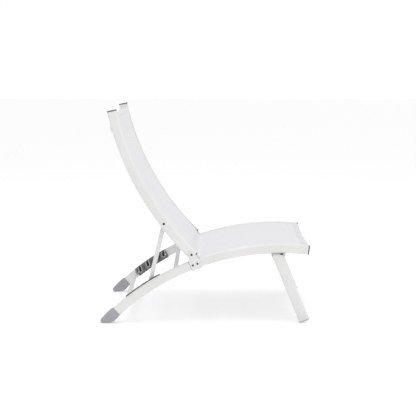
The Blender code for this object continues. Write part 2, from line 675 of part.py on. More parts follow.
# ---------------------------------------------------------------- prop
def prop_strut(side, word, material, parent):
    """Flat bar with round ends, from the backrest rail to the foot bar."""
    outline = stadium(PROP_AXIS, FOOT, STRUT_WIDTH / 2)
    bm = prism(outline, side * STRUT_INNER, side * STRUT_OUTER)
    thing = piece(f"prop_strut_{word}", bm, material, parent)
    reach = 0.01
    cut(thing, rod(PROP_AXIS, BOLT_RADIUS + GAP, side * (STRUT_INNER - reach), side * (STRUT_OUTER + reach), 12))
    cut(thing, rod(FOOT, FOOT_BAR_RADIUS + GAP, side * (STRUT_INNER - reach), side * (STRUT_OUTER + reach)))
    return thing


def prop_spacer(side, word, material, parent):
    """Bush that holds the strut away from the backrest rail."""
    outer = rod(PROP_AXIS, 0.0070, side * (STRUT_OUTER + CLEAR), side * (RAIL_INNER - CLEAR))
    thing = piece(f"prop_spacer_{word}", outer, material, parent)
    return cut(thing, rod(PROP_AXIS, BOLT_RADIUS + GAP, side * (STRUT_OUTER - 0.01), side * (RAIL_INNER + 0.01), 12))


def foot_button(side, word, material, parent):
    """Plastic button on the foot bar's end."""
    start = STRUT_OUTER + GAP
    end = RACK_INNER - CLEAR
    profile = [(FOOT_BAR_RADIUS + 0.0008, start), (FOOT_BAR_RADIUS + 0.0008, end - 0.0006),
               (FOOT_BAR_RADIUS - 0.0006, end)]
    return piece(f"foot_button_{word}", turned(FOOT, side, profile), material, parent)


# ---------------------------------------------------------------- front leg frame
def straight_ring(outline, distance, side):
    """Ring of the front leg's section at a distance down the leg from its axis's top."""
    place = LEG_TOP + LEG_DOWN * distance + Vector((0, side * RAIL_MIDDLE, 0))
    return [place + LEG_AHEAD * deep - Vector((0, side * across, 0)) for across, deep in outline]


def trim_top(points, lower):
    """Slide points along the leg to its top: level, and round the pin behind it."""
    trimmed = []
    top = LEG_TOP_Z - lower
    radius = LEG_PIN_INSET - lower
    for point in points:
        level = point + LEG_DOWN * ((top - point.z) / LEG_DOWN.z)
        if level.x < LEG_PIN.x:
            offset = xz(point.x - LEG_PIN.x, point.z - LEG_PIN.z)
            along = offset.dot(LEG_DOWN)
            square = max(0.0, along ** 2 - offset.length_squared + radius ** 2)
            level = point - LEG_DOWN * (along + math.sqrt(square))
        trimmed.append(level)
    return trimmed


def foot_plane_distance():
    """How far down the leg its plug ends, with the plug's rear corner on the ground."""
    rear = LEG_TOP - LEG_AHEAD * (FRONT_LEG_DEPTH / 2)
    return (rear.z - GROUND_FLAT) / -LEG_DOWN.z


def front_leg(side, word, material, parent):
    """Flat oval tube, cut level under the rail and square at the foot."""
    outer = oval(FRONT_LEG_WIDTH, FRONT_LEG_DEPTH, FRONT_LEG_CORNER)
    inner = oval(FRONT_LEG_WIDTH - 2 * RAIL_WALL, FRONT_LEG_DEPTH - 2 * RAIL_WALL, FRONT_LEG_CORNER - RAIL_WALL)
    end = foot_plane_distance() - CAP - GAP
    bm = bmesh.new()
    loops = []
    for outline in (outer, inner):
        top = trim_top(straight_ring(outline, 0.0, side), 0.0)
        low = straight_ring(outline, end, side)
        loops.append([[bm.verts.new(point) for point in points] for points in (top, low)])
    (outer_top, outer_low), (inner_top, inner_low) = loops
    for i in range(len(outer)):
        j = (i + 1) % len(outer)
        for a, b in ((outer_top, outer_low), (outer_low, inner_low), (inner_low, inner_top), (inner_top, outer_top)):
            bm.faces.new((a[i], a[j], b[j], b[i]))
    thing = piece(f"front_leg_{word}", bm, material, parent)
    y_in = side * (RAIL_MIDDLE - FRONT_LEG_WIDTH / 2)
    cut(thing, rod(LEG_PIN, LEG_PIN_RADIUS + GAP, y_in - side * 0.01, y_in + side * 0.005, 12))
    return thing


def front_leg_head(side, word, material, parent):
    """Plug in the leg's upper end that carries the pin."""
    inset = 2 * (RAIL_WALL + GAP)
    outline = oval(FRONT_LEG_WIDTH - inset, FRONT_LEG_DEPTH - inset, FRONT_LEG_CORNER - RAIL_WALL)
    top = trim_top(straight_ring(outline, 0.0, side), 0.0012)
    thing = piece(f"front_leg_head_{word}", loft([top, straight_ring(outline, 0.030, side)]), material, parent)
    y_in = side * (RAIL_MIDDLE - FRONT_LEG_WIDTH / 2)
    cut(thing, rod(LEG_PIN, LEG_PIN_RADIUS + GAP, y_in - side * 0.01, side * PIN_END + side * GAP, 12))
    return thing


def leg_pin(side, word, material, parent):
    """Shouldered pin through the bracket's ear into the leg's head."""
    face = RAIL_MIDDLE - FRONT_LEG_WIDTH / 2 - CLEAR - LEG_EAR - GAP
    profile = [(0.0045, face - 0.0035), (0.0066, face - 0.0026), (0.0066, face), (LEG_PIN_RADIUS, face),
               (LEG_PIN_RADIUS, PIN_END)]
    return piece(f"leg_pin_{word}", turned(LEG_PIN, side, profile, 12), material, parent)


def front_foot_plug(side, word, material, parent):
    """Plug in the leg's lower end, its rear corner cut level where it stands."""
    inset = 2 * (RAIL_WALL + GAP)
    plug = oval(FRONT_LEG_WIDTH - inset, FRONT_LEG_DEPTH - inset, FRONT_LEG_CORNER - RAIL_WALL)
    full = oval(FRONT_LEG_WIDTH, FRONT_LEG_DEPTH, FRONT_LEG_CORNER)
    end = foot_plane_distance()
    rings = [straight_ring(plug, end - CAP - 0.018, side), straight_ring(plug, end - CAP, side),
             straight_ring(full, end - CAP, side)]
    for i in range(1, 4):
        turn = math.radians(30 * i)
        inset = PLUG_ROUND * (1 - math.cos(turn))
        soft = oval(FRONT_LEG_WIDTH - 2 * inset, FRONT_LEG_DEPTH - 2 * inset, FRONT_LEG_CORNER - inset)
        rings.append(straight_ring(soft, end - PLUG_ROUND * (1 - math.sin(turn)), side))
    thing = piece(f"front_foot_plug_{word}", loft(rings), material, parent)
    foot = (LEG_TOP + LEG_DOWN * end).x
    ground = [xz(foot + x, z) for x, z in ((-0.1, -0.05), (0.1, -0.05), (0.1, 0.0), (-0.1, 0.0))]
    return cut(thing, prism(ground, side * (RAIL_INNER - RAIL_WIDTH), side * (RAIL_OUTER + RAIL_WIDTH)))


def crossbar_place():
    """Middle of the front leg frame's bar, on the legs' axis."""
    return LEG_TOP + LEG_DOWN * ((LEG_TOP.z - CROSSBAR_HEIGHT) / -LEG_DOWN.z)


# ---------------------------------------------------------------- assembly
def build():
    """Make every piece."""
    clear_scene()
    white = finish("white_coat", (0.80, 0.80, 0.79), 0.42, 0.0)
    mesh_white = finish("sling_mesh", (0.78, 0.78, 0.80), 0.75, 0.0)
    grey = finish("grey_plastic", (0.16, 0.16, 0.165), 0.55, 0.0)
    pale = finish("pale_grey_plastic", (0.36, 0.36, 0.38), 0.55, 0.0)
    dark = finish("dark_steel", (0.10, 0.10, 0.10), 0.40, 0.8)
    alloy = finish("bare_alloy", (0.55, 0.55, 0.55), 0.35, 1.0)

    hinge = pivot("hinge_axis", HINGE)
    prop_axis = pivot("prop_axis", PROP_AXIS)
    leg_axis = pivot("front_leg_axis", LEG_PIN)
    bracket_outer = RAIL_OUTER + CLEAR + BRACKET_PLATE
    bracket_inner = RAIL_INNER - CLEAR - BRACKET_PLATE

    for word, side in SIDES.items():
        seat_rail(side, word, white)
        rear_leg(side, word, white)
        rail_joiner(side, word, alloy)
        hinge_bracket(side, word, white)
        bracket_rivets(side, word, dark)
        rear_foot_cap(side, word, pale)
        rack(side, word, grey)
        rack_screws(side, word, dark)
        leg_bracket(side, word, grey)
        piece(f"seat_end_cap_{word}",
              cap_on_arc(ARCH_CENTRE, ARCH_RADIUS, SEAT_FRONT, -1, side, 1), grey)

        piece(f"hinge_bolt_{word}", through_bolt(HINGE, side, bracket_outer, bracket_inner - 0.002), dark, hinge)
        piece(f"hinge_nut_{word}", nut(HINGE, side, bracket_inner), alloy, hinge)

        backrest_rail(side, word, white, hinge)
        backrest_caps(side, word, grey, hinge)

        piece(f"prop_bolt_{word}", through_bolt(PROP_AXIS, side, RAIL_OUTER, STRUT_INNER - 0.002), dark, prop_axis)
        piece(f"prop_nut_{word}", nut(PROP_AXIS, side, STRUT_INNER), alloy, prop_axis)
        prop_spacer(side, word, grey, prop_axis)
        prop_strut(side, word, white, prop_axis)
        foot_button(side, word, grey, prop_axis)

        front_leg(side, word, white, leg_axis)
        front_leg_head(side, word, grey, leg_axis)
        leg_pin(side, word, dark, leg_axis)
        front_foot_plug(side, word, white, leg_axis)

    leg_reach = RAIL_INNER - GAP
    stretcher("lower_stretcher", arch_at(up_leg(LOWER_STRETCHER)), leg_reach, white)
    stretcher("upper_stretcher", arch_at(arch_angle(UPPER_STRETCHER_X)), leg_reach, white)
    stretcher("seat_stretcher", arch_at(arch_angle(SEAT_STRETCHER_X), -SEAT_STRETCHER_DROP), leg_reach, white)
    sling("seat_sling", ARCH_CENTRE, ARCH_RADIUS + SLING_OFFSET,
          arch_angle(SEAT_SLING_X), arch_angle(SEAT_FRONT_X - SEAT_HEM), mesh_white)

    top_bar(white, hinge)
    sling("backrest_sling", BACK_CENTRE, BACK_RADIUS - SLING_OFFSET,
          back_angle(BACK_SLING), back_angle(BACK_LENGTH - BACK_HEM), mesh_white, hinge)

    piece("foot_bar", rod(FOOT, FOOT_BAR_RADIUS, -STRUT_OUTER, STRUT_OUTER), alloy, prop_axis)
    bar_reach = RAIL_MIDDLE - FRONT_LEG_WIDTH / 2 - GAP
    stretcher("front_crossbar", crossbar_place(), bar_reach, white, parent=leg_axis)


build()
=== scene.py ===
"""Folding sun lounger with a mesh sling: the visual model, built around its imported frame.

Metres, +Z up, the seat's front towards +X. The seat rails and the rear legs lie on one long
arch and the backrest rails on a second arc, so most tubes are an oval plate spun about an
arc's centre. Each sub-assembly is a class that builds its pieces and hands them to its body.
"""
import json
import logging
import math
from contextlib import contextmanager
from dataclasses import dataclass
from enum import Enum
from typing import Callable, Iterator, Optional, Sequence

import bmesh
import bpy
from mathutils import Matrix, Vector

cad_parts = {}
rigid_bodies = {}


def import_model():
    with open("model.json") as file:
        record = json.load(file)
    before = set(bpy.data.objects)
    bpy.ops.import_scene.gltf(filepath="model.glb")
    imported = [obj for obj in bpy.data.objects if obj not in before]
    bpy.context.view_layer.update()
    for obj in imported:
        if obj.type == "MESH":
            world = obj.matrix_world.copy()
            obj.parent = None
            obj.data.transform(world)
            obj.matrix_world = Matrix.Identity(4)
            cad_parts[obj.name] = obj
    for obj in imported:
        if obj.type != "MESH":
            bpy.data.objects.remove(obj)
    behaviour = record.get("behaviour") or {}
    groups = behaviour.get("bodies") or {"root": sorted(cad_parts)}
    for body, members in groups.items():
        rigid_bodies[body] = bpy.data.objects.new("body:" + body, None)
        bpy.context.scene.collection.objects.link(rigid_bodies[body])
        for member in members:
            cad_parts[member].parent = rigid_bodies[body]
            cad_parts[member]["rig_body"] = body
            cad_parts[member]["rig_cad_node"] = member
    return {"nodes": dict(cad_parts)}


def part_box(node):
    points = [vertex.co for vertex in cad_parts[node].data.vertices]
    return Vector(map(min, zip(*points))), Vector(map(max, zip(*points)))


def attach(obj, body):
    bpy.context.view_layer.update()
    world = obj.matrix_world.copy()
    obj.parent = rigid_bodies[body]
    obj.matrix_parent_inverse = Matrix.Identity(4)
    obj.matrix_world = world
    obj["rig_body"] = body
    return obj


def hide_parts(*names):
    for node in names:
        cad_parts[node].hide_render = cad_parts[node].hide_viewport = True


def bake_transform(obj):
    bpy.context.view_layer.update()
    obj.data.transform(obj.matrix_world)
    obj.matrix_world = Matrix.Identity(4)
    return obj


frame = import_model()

LOG = logging.getLogger("lounger")
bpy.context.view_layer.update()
UP = Vector((0.0, 0.0, 1.0))
ACROSS = Vector((0.0, 1.0, 0.0))


class Side(Enum):
    """The lounger's two sides and their sign along Y."""

    LEFT = 1
    RIGHT = -1

    @property
    def word(self) -> str:
        """The side's word in the names of its pieces."""
        return self.name.lower()

    @property
    def inward(self) -> Vector:
        """Direction from this side to the lounger's middle."""
        return ACROSS * -self.value


class Body(Enum):
    """The bodies that pieces ride on."""

    FRAME = "frame"
    HINGE = "hinge_pins"
    BACKREST = "backrest"
    PROP_PINS = "prop_pins"
    PROP = "prop"
    FRONT_LEGS = "front_legs"


class Slot(Enum):
    """The record's material slots."""

    COAT = "white_coat"
    MESH = "sling_mesh"
    GREY = "grey_plastic"
    PALE = "pale_grey_plastic"
    DARK = "dark_steel"
    ALLOY = "bare_alloy"


# ---------------------------------------------------------------- layout
@dataclass(frozen=True)
class Arc:
    """A circle in the side's plane that tubes follow.

    Attributes:
        x: Centre along the lounger.
        z: Centre above the ground.
        radius: Radius of the tubes' centre line.
        facing: 1 where the sitter is outside the circle and -1 where inside.
    """

    x: float
    z: float
    radius: float
    facing: int

    @property
    def centre(self) -> Vector:
        """The circle's centre on the lounger's middle plane."""
        return Vector((self.x, 0.0, self.z))

    def out(self, angle: float) -> Vector:
        """Unit vector towards the sitter at an angle from +X towards +Z."""
        return Vector((math.cos(angle), 0.0, math.sin(angle))) * self.facing

    def at(self, angle: float, rise: float = 0.0, y: float = 0.0) -> Vector:
        """Point on the arc, rise towards the sitter, at y across."""
        away = self.radius * self.facing + rise
        return self.centre + self.out(angle) * away + ACROSS * y

    def at_x(self, x: float) -> float:
        """Angle of the upper half of the circle at a station along X."""
        return math.acos((x - self.x) / self.radius)


ARCH = Arc(0.3305, -0.7245, 1.0530, 1)
BACK = Arc(0.822942, 1.180033, 1.2415, -1)
BACK_START = math.radians(134.9 + 90.0)
BACK_LENGTH = 0.7075
LEG_END = math.pi - math.asin((0.0500 - ARCH.z) / ARCH.radius)
SEAM = ARCH.at_x(-0.0614)
SEAT_FRONT = ARCH.at_x(0.4455)
HINGE = ARCH.at(ARCH.at_x(-0.0404), 0.0456)
GAP = 0.0003
CLEAR = 0.0006


def up_back(distance: float) -> float:
    """The backrest arc's angle at a distance up the rail from the hinge."""
    return BACK_START - distance / BACK.radius


def up_leg(distance: float) -> float:
    """The arch's angle at a distance up the rear leg from its lower end."""
    return LEG_END - distance / ARCH.radius


@dataclass(frozen=True)
class Rail:
    """The oval tube that the seat, the legs and the backrest share."""

    width: float = 0.0250
    depth: float = 0.0410
    corner: float = 0.0105
    groove_depth: float = 0.0055
    groove_width: float = 0.0020
    groove_rise: float = 0.0160

    @property
    def outer(self) -> float:
        """Outer face of the rails, from the middle plane."""
        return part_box("seat_rail_left")[1].y

    @property
    def inner(self) -> float:
        """Inner face of the rails, from the middle plane."""
        return self.outer - self.width

    @property
    def middle(self) -> float:
        """Middle of the rails, from the middle plane."""
        return self.outer - self.width / 2


RAIL = Rail()
PROP_AXIS = BACK.at(up_back(0.1786), -0.0020)
POCKETS = [ARCH.at(up_leg(0.0890 + 0.0452 * i)) for i in range(4)]
FOOT = POCKETS[2]


# ---------------------------------------------------------------- bench
def idle() -> None:
    """Leave edit mode and deselect everything."""
    active = bpy.context.view_layer.objects.active
    if active and active.mode != "OBJECT":
        bpy.ops.object.mode_set(mode="OBJECT")
    bpy.ops.object.select_all(action="DESELECT")


def take(thing: bpy.types.Object) -> None:
    """Make a piece the only selected one and the active one."""
    idle()
    thing.select_set(True)
    bpy.context.view_layer.objects.active = thing


@contextmanager
def editing(thing: bpy.types.Object) -> Iterator[None]:
    """Edit mode on one piece, all of it selected at first."""
    take(thing)
    bpy.ops.object.mode_set(mode="EDIT")
    bpy.ops.mesh.select_all(action="SELECT")
    yield
    bpy.ops.object.mode_set(mode="OBJECT")


def pick(thing: bpy.types.Object, kind: str, test: Callable) -> int:
    """Select the faces, edges or verts that pass a test, in edit mode.

    Args:
        thing: The piece in edit mode.
        kind: "FACE", "EDGE" or "VERT".
        test: Says of one bmesh element whether it is selected.

    Returns:
        How many were selected.
    """
    bpy.ops.mesh.select_mode(type=kind)
    bpy.ops.mesh.select_all(action="DESELECT")
    grid = bmesh.from_edit_mesh(thing.data)
    grid.normal_update()
    store = {"FACE": grid.faces, "EDGE": grid.edges, "VERT": grid.verts}[kind]
    found = [element for element in store if test(element)]
    for element in found:
        element.select_set(True)
    grid.select_flush_mode()
    bmesh.update_edit_mesh(thing.data)
    return len(found)


def named(name: str) -> bpy.types.Object:
    """Name the primitive just added and bake its place into its mesh."""
    thing = bpy.context.view_layer.objects.active
    thing.name = name
    thing.data.name = name
    bpy.ops.object.transform_apply(location=True, rotation=True, scale=True)
    return thing


def plate(name: str, place: Vector, across: Vector, deep: Vector,
          width: float, depth: float) -> bpy.types.Object:
    """A flat rectangle.

    Args:
        name: The piece's name.
        place: Its middle.
        across: Direction of its width.
        deep: Direction of its depth.
        width: Size along across.
        depth: Size along deep.

    Returns:
        The piece.
    """
    idle()
    bpy.ops.mesh.primitive_plane_add(size=1.0)
    thing = bpy.context.view_layer.objects.active
    turn = Matrix((across, deep, across.cross(deep))).transposed().to_4x4()
    thing.matrix_world = Matrix.Translation(place) @ turn @ Matrix.Diagonal((width, depth, 1.0, 1.0))
    return named(name)


def rod(name: str, place: Vector, radius: float, y_from: float, y_to: float,
        sides: int = 48) -> bpy.types.Object:
    """A round bar along Y between two distances from the middle plane."""
    idle()
    middle = Vector((place.x, (y_from + y_to) / 2, place.z))
    bpy.ops.mesh.primitive_cylinder_add(vertices=sides, radius=radius, depth=abs(y_to - y_from),
                                        location=middle, rotation=(math.pi / 2, 0.0, 0.0))
    return named(name)


def join(first: bpy.types.Object, *others: bpy.types.Object) -> bpy.types.Object:
    """Join pieces into the first one."""
    take(first)
    for other in others:
        other.select_set(True)
    bpy.ops.object.join()
    return first


def hull(first: bpy.types.Object, *others: bpy.types.Object) -> bpy.types.Object:
    """Shrink-wrap pieces into one convex solid with clean faces."""
    join(first, *others)
    with editing(first):
        bpy.ops.mesh.convex_hull()
        bpy.ops.mesh.select_all(action="SELECT")
        bpy.ops.mesh.dissolve_limited(angle_limit=math.radians(1.0))
    return first


def keep(thing: bpy.types.Object, place: Vector, facing: Vector) -> bpy.types.Object:
    """Keep what is on the side of a plane that it faces, left open at the cut."""
    with editing(thing):
        bpy.ops.mesh.bisect(plane_co=place, plane_no=facing, clear_inner=True)
    return thing


def stadium(name: str, a: Vector, b: Vector, radius: float, y_from: float, y_to: float,
            sides: int = 40) -> bpy.types.Object:
    """A bar with round ends at a and b, between two distances from the middle plane."""
    return hull(rod(name, a, radius, y_from, y_to, sides), rod(name, b, radius, y_from, y_to, sides))


def modify(thing: bpy.types.Object, kind: str, **settings: object) -> bpy.types.Object:
    """Add a modifier with its settings and apply it."""
    take(thing)
    modifier = thing.modifiers.new(kind.title(), kind)
    for key, value in settings.items():
        setattr(modifier, key, value)
    bpy.ops.object.modifier_apply(modifier=modifier.name)
    return thing


def cut(thing: bpy.types.Object, tool: bpy.types.Object) -> bpy.types.Object:
    """Take a tool's volume out of a piece and remove the tool."""
    modify(thing, "BOOLEAN", object=tool, operation="DIFFERENCE", solver="EXACT")
    bpy.data.objects.remove(tool, do_unlink=True)
    return thing


def soften(thing: bpy.types.Object, width: float, segments: int = 3,
           angle: float = 40.0) -> bpy.types.Object:
    """Round a piece's sharp edges."""
    return modify(thing, "BEVEL", width=width, segments=segments, limit_method="ANGLE",
                  angle_limit=math.radians(angle), harden_normals=False, use_clamp_overlap=True)


def tidy(thing: bpy.types.Object, smooth: float = 32.0) -> bpy.types.Object:
    """Merge doubles, point the faces outwards and shade smooth below an angle."""
    with editing(thing):
        bpy.ops.mesh.remove_doubles(threshold=1e-6)
        bpy.ops.mesh.normals_make_consistent(inside=False)
    take(thing)
    bpy.ops.object.shade_smooth_by_angle(angle=math.radians(smooth))
    return thing


def round_corners(thing: bpy.types.Object, radius: float, segments: int = 7) -> None:
    """Round the corners of a flat plate."""
    with editing(thing):
        bpy.ops.mesh.bevel(offset=radius, offset_type="OFFSET", segments=segments, affect="VERTICES")


def spin(thing: bpy.types.Object, arc: Arc, turn: float, pitch: float = 0.010) -> bpy.types.Object:
    """Spin a plate about an arc's centre into a bar.

    Args:
        thing: The plate, at the bar's start.
        arc: The circle it follows.
        turn: Angle of the bar, positive from +X towards +Z.
        pitch: Longest step along the arc, in metres.

    Returns:
        The bar.
    """
    steps = max(2, math.ceil(abs(turn) * arc.radius / pitch))
    with editing(thing):
        bpy.ops.mesh.spin(steps=steps, angle=turn, center=arc.centre, axis=(0.0, 1.0, 0.0))
    return tidy(thing)


def groove(thing: bpy.types.Object, place: Vector, across: Vector, deep: Vector) -> None:
    """Cut the sling groove into a rail's plate, in the edge towards across."""
    def faces_in_groove(face: bmesh.types.BMFace) -> bool:
        """Whether a face lies between the groove's two walls."""
        level = (face.calc_center_median() - place).dot(deep)
        return abs(level - RAIL.groove_rise) < RAIL.groove_width / 2

    def open_face(face: bmesh.types.BMFace) -> bool:
        """Whether a face is the groove's own opening."""
        reach = (face.calc_center_median() - place).dot(across)
        return faces_in_groove(face) and reach > RAIL.width / 2 - RAIL.groove_depth

    with editing(thing):
        for wall in (-0.5, 0.5):
            bpy.ops.mesh.select_all(action="SELECT")
            level = RAIL.groove_rise + wall * RAIL.groove_width
            bpy.ops.mesh.bisect(plane_co=place + deep * level, plane_no=deep)
        pick(thing, "FACE", faces_in_groove)
        floor = place + across * (RAIL.width / 2 - RAIL.groove_depth)
        bpy.ops.mesh.bisect(plane_co=floor, plane_no=across)
        pick(thing, "FACE", open_face)
        bpy.ops.mesh.delete(type="FACE")


def oval_bar(name: str, side: Side, arc: Arc, start: float, end: float,
             grooved: bool = False, grow: float = 0.0, pitch: float = 0.010) -> bpy.types.Object:
    """A length of the rails' oval tube along an arc.

    Args:
        name: The piece's name.
        side: Left or right.
        arc: The circle it follows.
        start: Angle of its first end.
        end: Angle of its other end.
        grooved: Whether the sling groove is in its inner face.
        grow: Extra size all round.
        pitch: Longest step along the arc.

    Returns:
        The closed bar.
    """
    place = arc.at(start, 0.0, side.value * RAIL.middle)
    deep = arc.out(start)
    thing = plate(name, place, side.inward, deep, RAIL.width + 2 * grow, RAIL.depth + 2 * grow)
    round_corners(thing, RAIL.corner + grow)
    if grooved:
        groove(thing, place, side.inward, deep)
    return spin(thing, arc, end - start, pitch)


def head(name: str, place: Vector, y_base: float, facing: int, radius: float, height: float,
         shank: float, socket: int = 0, sides: int = 32) -> bpy.types.Object:
    """A domed bolt, screw or rivet head with a stub of shank.

    Args:
        name: The piece's name.
        place: Its axis in the side's plane.
        y_base: Where the head sits, along Y.
        facing: 1 where the dome points towards +Y and -1 towards -Y.
        radius: The head's radius.
        height: The head's height.
        shank: Length of the stub below the head.
        socket: Sides of the driver's socket, or 0 for a dimple.
        sides: Sides of the head.

    Returns:
        The piece.
    """
    thing = rod(name, place, radius, y_base, y_base + facing * height, sides)
    top = y_base + facing * height

    def on_top(edge: bmesh.types.BMEdge) -> bool:
        """Whether an edge is on the head's outer face."""
        return all(abs(v.co.y - top) < 1e-5 for v in edge.verts)

    def outer_face(face: bmesh.types.BMFace) -> bool:
        """Whether a face is the head's outer face."""
        return face.normal.y * facing > 0.99 and abs(face.calc_center_median().y - top) < 1e-5

    with editing(thing):
        bpy.ops.mesh.remove_doubles(threshold=1e-6)
        bpy.ops.mesh.normals_make_consistent(inside=False)
        pick(thing, "EDGE", on_top)
        bpy.ops.mesh.bevel(offset=height * 0.82, segments=5, affect="EDGES")
        if not socket:
            pick(thing, "FACE", outer_face)
            bpy.ops.mesh.inset(thickness=radius * 0.22)
            bpy.ops.mesh.inset(thickness=radius * 0.08, depth=-height * 0.18)
    if socket:
        tool = rod(name, place, radius * 0.46, top - facing * height * 0.6, top + facing * height, socket)
        cut(thing, tool)
    stub = rod(name, place, radius * 0.52, y_base + facing * height * 0.3, y_base - facing * shank, sides)
    return tidy(join(thing, stub))


# ---------------------------------------------------------------- finishes
class NodeBench:
    """Small helper that lays out and links the nodes of one tree."""

    def __init__(self, tree: bpy.types.NodeTree) -> None:
        """Work on one node tree."""
        self.tree = tree

    def add(self, kind: str, **inputs: object) -> bpy.types.Node:
        """Add a node, its inputs given as sockets to link or as values."""
        node = self.tree.nodes.new(kind)
        node.location = (len(self.tree.nodes) * 170.0 % 1700.0, -len(self.tree.nodes) * 40.0)
        for key, value in inputs.items():
            by_number = key[0] == "i" and key[1:].isdigit()
            self.feed(node.inputs[int(key[1:]) if by_number else key.replace("_", " ")], value)
        return node

    def feed(self, socket: bpy.types.NodeSocket, value: object) -> None:
        """Link a socket to another one or give it a plain value."""
        if isinstance(value, bpy.types.NodeSocket):
            self.tree.links.new(value, socket)
        else:
            socket.default_value = value

    def math(self, operation: str, first: object, second: object = 0.0) -> bpy.types.NodeSocket:
        """One step of arithmetic."""
        node = self.add("ShaderNodeMath", i0=first, i1=second)
        node.operation = operation
        return node.outputs[0]

    def spread(self, value: object, low: float, high: float, to_low: float,
               to_high: float) -> bpy.types.NodeSocket:
        """Map a value from one range to another, held at the ends."""
        node = self.add("ShaderNodeMapRange", Value=value, From_Min=low, From_Max=high,
                        To_Min=to_low, To_Max=to_high)
        return node.outputs["Result"]

    def tint(self, factor: object, first: object, second: object) -> bpy.types.NodeSocket:
        """Mix two colours."""
        node = self.add("ShaderNodeMix")
        node.data_type = "RGBA"
        self.feed(node.inputs["Factor"], factor)
        for socket, value in ((node.inputs[6], first), (node.inputs[7], second)):
            self.feed(socket, value)
        return node.outputs[2]


def new_group(name: str, inputs: dict[str, object], outputs: Sequence[str]) -> tuple:
    """A shader node group with named sockets.

    Args:
        name: The group's name.
        inputs: Default value of each input by name; a tuple makes a vector.
        outputs: Names of its value outputs.

    Returns:
        The group, its bench, its input node and its output node.
    """
    tree = bpy.data.node_groups.new(name, "ShaderNodeTree")
    for key, value in inputs.items():
        kind = "NodeSocketVector" if isinstance(value, tuple) else "NodeSocketFloat"
        socket = tree.interface.new_socket(name=key, in_out="INPUT", socket_type=kind)
        socket.default_value = value
    for key in outputs:
        tree.interface.new_socket(name=key, in_out="OUTPUT", socket_type="NodeSocketFloat")
    bench = NodeBench(tree)
    return tree, bench, tree.nodes.new("NodeGroupInput"), tree.nodes.new("NodeGroupOutput")


def grain_group() -> bpy.types.NodeTree:
    """Skin of a moulded or coated surface: fine relief and slow drifts of tone."""
    tree, bench, given, made = new_group(
        "surface_grain", {"Vector": (0.0, 0.0, 0.0), "Scale": 800.0, "Drift": 6.0},
        ("Relief", "Tone", "Gloss"))
    place = given.outputs["Vector"]
    fine = bench.add("ShaderNodeTexNoise", Vector=place, Scale=given.outputs["Scale"], Detail=3.0)
    slow = bench.add("ShaderNodeTexNoise", Vector=place, Scale=given.outputs["Drift"], Detail=4.0)
    patch = bench.add("ShaderNodeTexNoise", Vector=place,
                      Scale=bench.math("MULTIPLY", given.outputs["Drift"], 7.0), Detail=5.0)
    bench.feed(made.inputs["Relief"], fine.outputs["Fac"])
    bench.feed(made.inputs["Tone"], bench.spread(slow.outputs["Fac"], 0.3, 0.7, 0.0, 1.0))
    bench.feed(made.inputs["Gloss"], bench.spread(patch.outputs["Fac"], 0.35, 0.65, 0.0, 1.0))
    return tree


def wear_group() -> bpy.types.NodeTree:
    """Scuffs, and the dust that a piece takes up near the ground."""
    tree, bench, given, made = new_group(
        "wear", {"Vector": (0.0, 0.0, 0.0), "Scale": 60.0, "Amount": 0.3, "Dust": 0.3},
        ("Scuff", "Dust"))
    streak = bench.add("ShaderNodeMapping", Vector=given.outputs["Vector"], Scale=(1.0, 1.0, 0.25))
    speck = bench.add("ShaderNodeTexNoise", Vector=streak.outputs["Vector"],
                      Scale=given.outputs["Scale"], Detail=6.0)
    mask = bench.spread(speck.outputs["Fac"], 0.58, 0.72, 0.0, 1.0)
    bench.feed(made.inputs["Scuff"], bench.math("MULTIPLY", mask, given.outputs["Amount"]))
    level = bench.add("ShaderNodeSeparateXYZ", Vector=given.outputs["Vector"])
    near = bench.spread(level.outputs["Z"], 0.0, 0.06, 1.0, 0.0)
    soft = bench.spread(speck.outputs["Fac"], 0.35, 0.65, 0.3, 1.0)
    bench.feed(made.inputs["Dust"],
               bench.math("MULTIPLY", bench.math("MULTIPLY", near, soft), given.outputs["Dust"]))
    return tree


def weave_group() -> bpy.types.NodeTree:
    """Open plain weave of coated yarn, on coordinates in metres."""
    tree, bench, given, made = new_group(
        "sling_weave", {"Vector": (0.0, 0.0, 0.0), "Pitch": 0.0013}, ("Relief", "Yarn", "Hole"))
    flat = bench.add("ShaderNodeSeparateXYZ", Vector=given.outputs["Vector"])
    turns = bench.math("DIVIDE", math.pi, given.outputs["Pitch"])
    warp = bench.math("MULTIPLY", flat.outputs["X"], turns)
    weft = bench.math("MULTIPLY", flat.outputs["Y"], turns)
    heights = []
    for own, other, sign in ((warp, weft, 0.42), (weft, warp, -0.42)):
        crest = bench.math("ABSOLUTE", bench.math("SINE", own))
        cell = bench.math("MULTIPLY", bench.math("FLOOR", bench.math("DIVIDE", own, math.pi)), math.pi)
        over = bench.math("SINE", bench.math("ADD", other, cell))
        lift = bench.math("ADD", bench.math("MULTIPLY", over, sign), 0.58)
        heights.append(bench.math("MULTIPLY", crest, lift))
    relief = bench.math("MAXIMUM", *heights)
    bench.feed(made.inputs["Relief"], relief)
    # Masks for painted light: the crowns get a painted highlight and the openings painted shade.
    bench.feed(made.inputs["Yarn"], bench.spread(relief, 0.25, 0.85, 0.0, 1.0))
    bench.feed(made.inputs["Hole"], bench.spread(relief, 0.08, 0.26, 1.0, 0.0))
    return tree


GROUPS = {"grain": grain_group(), "wear": wear_group(), "weave": weave_group()}
DUST = (0.42, 0.40, 0.37, 1.0)


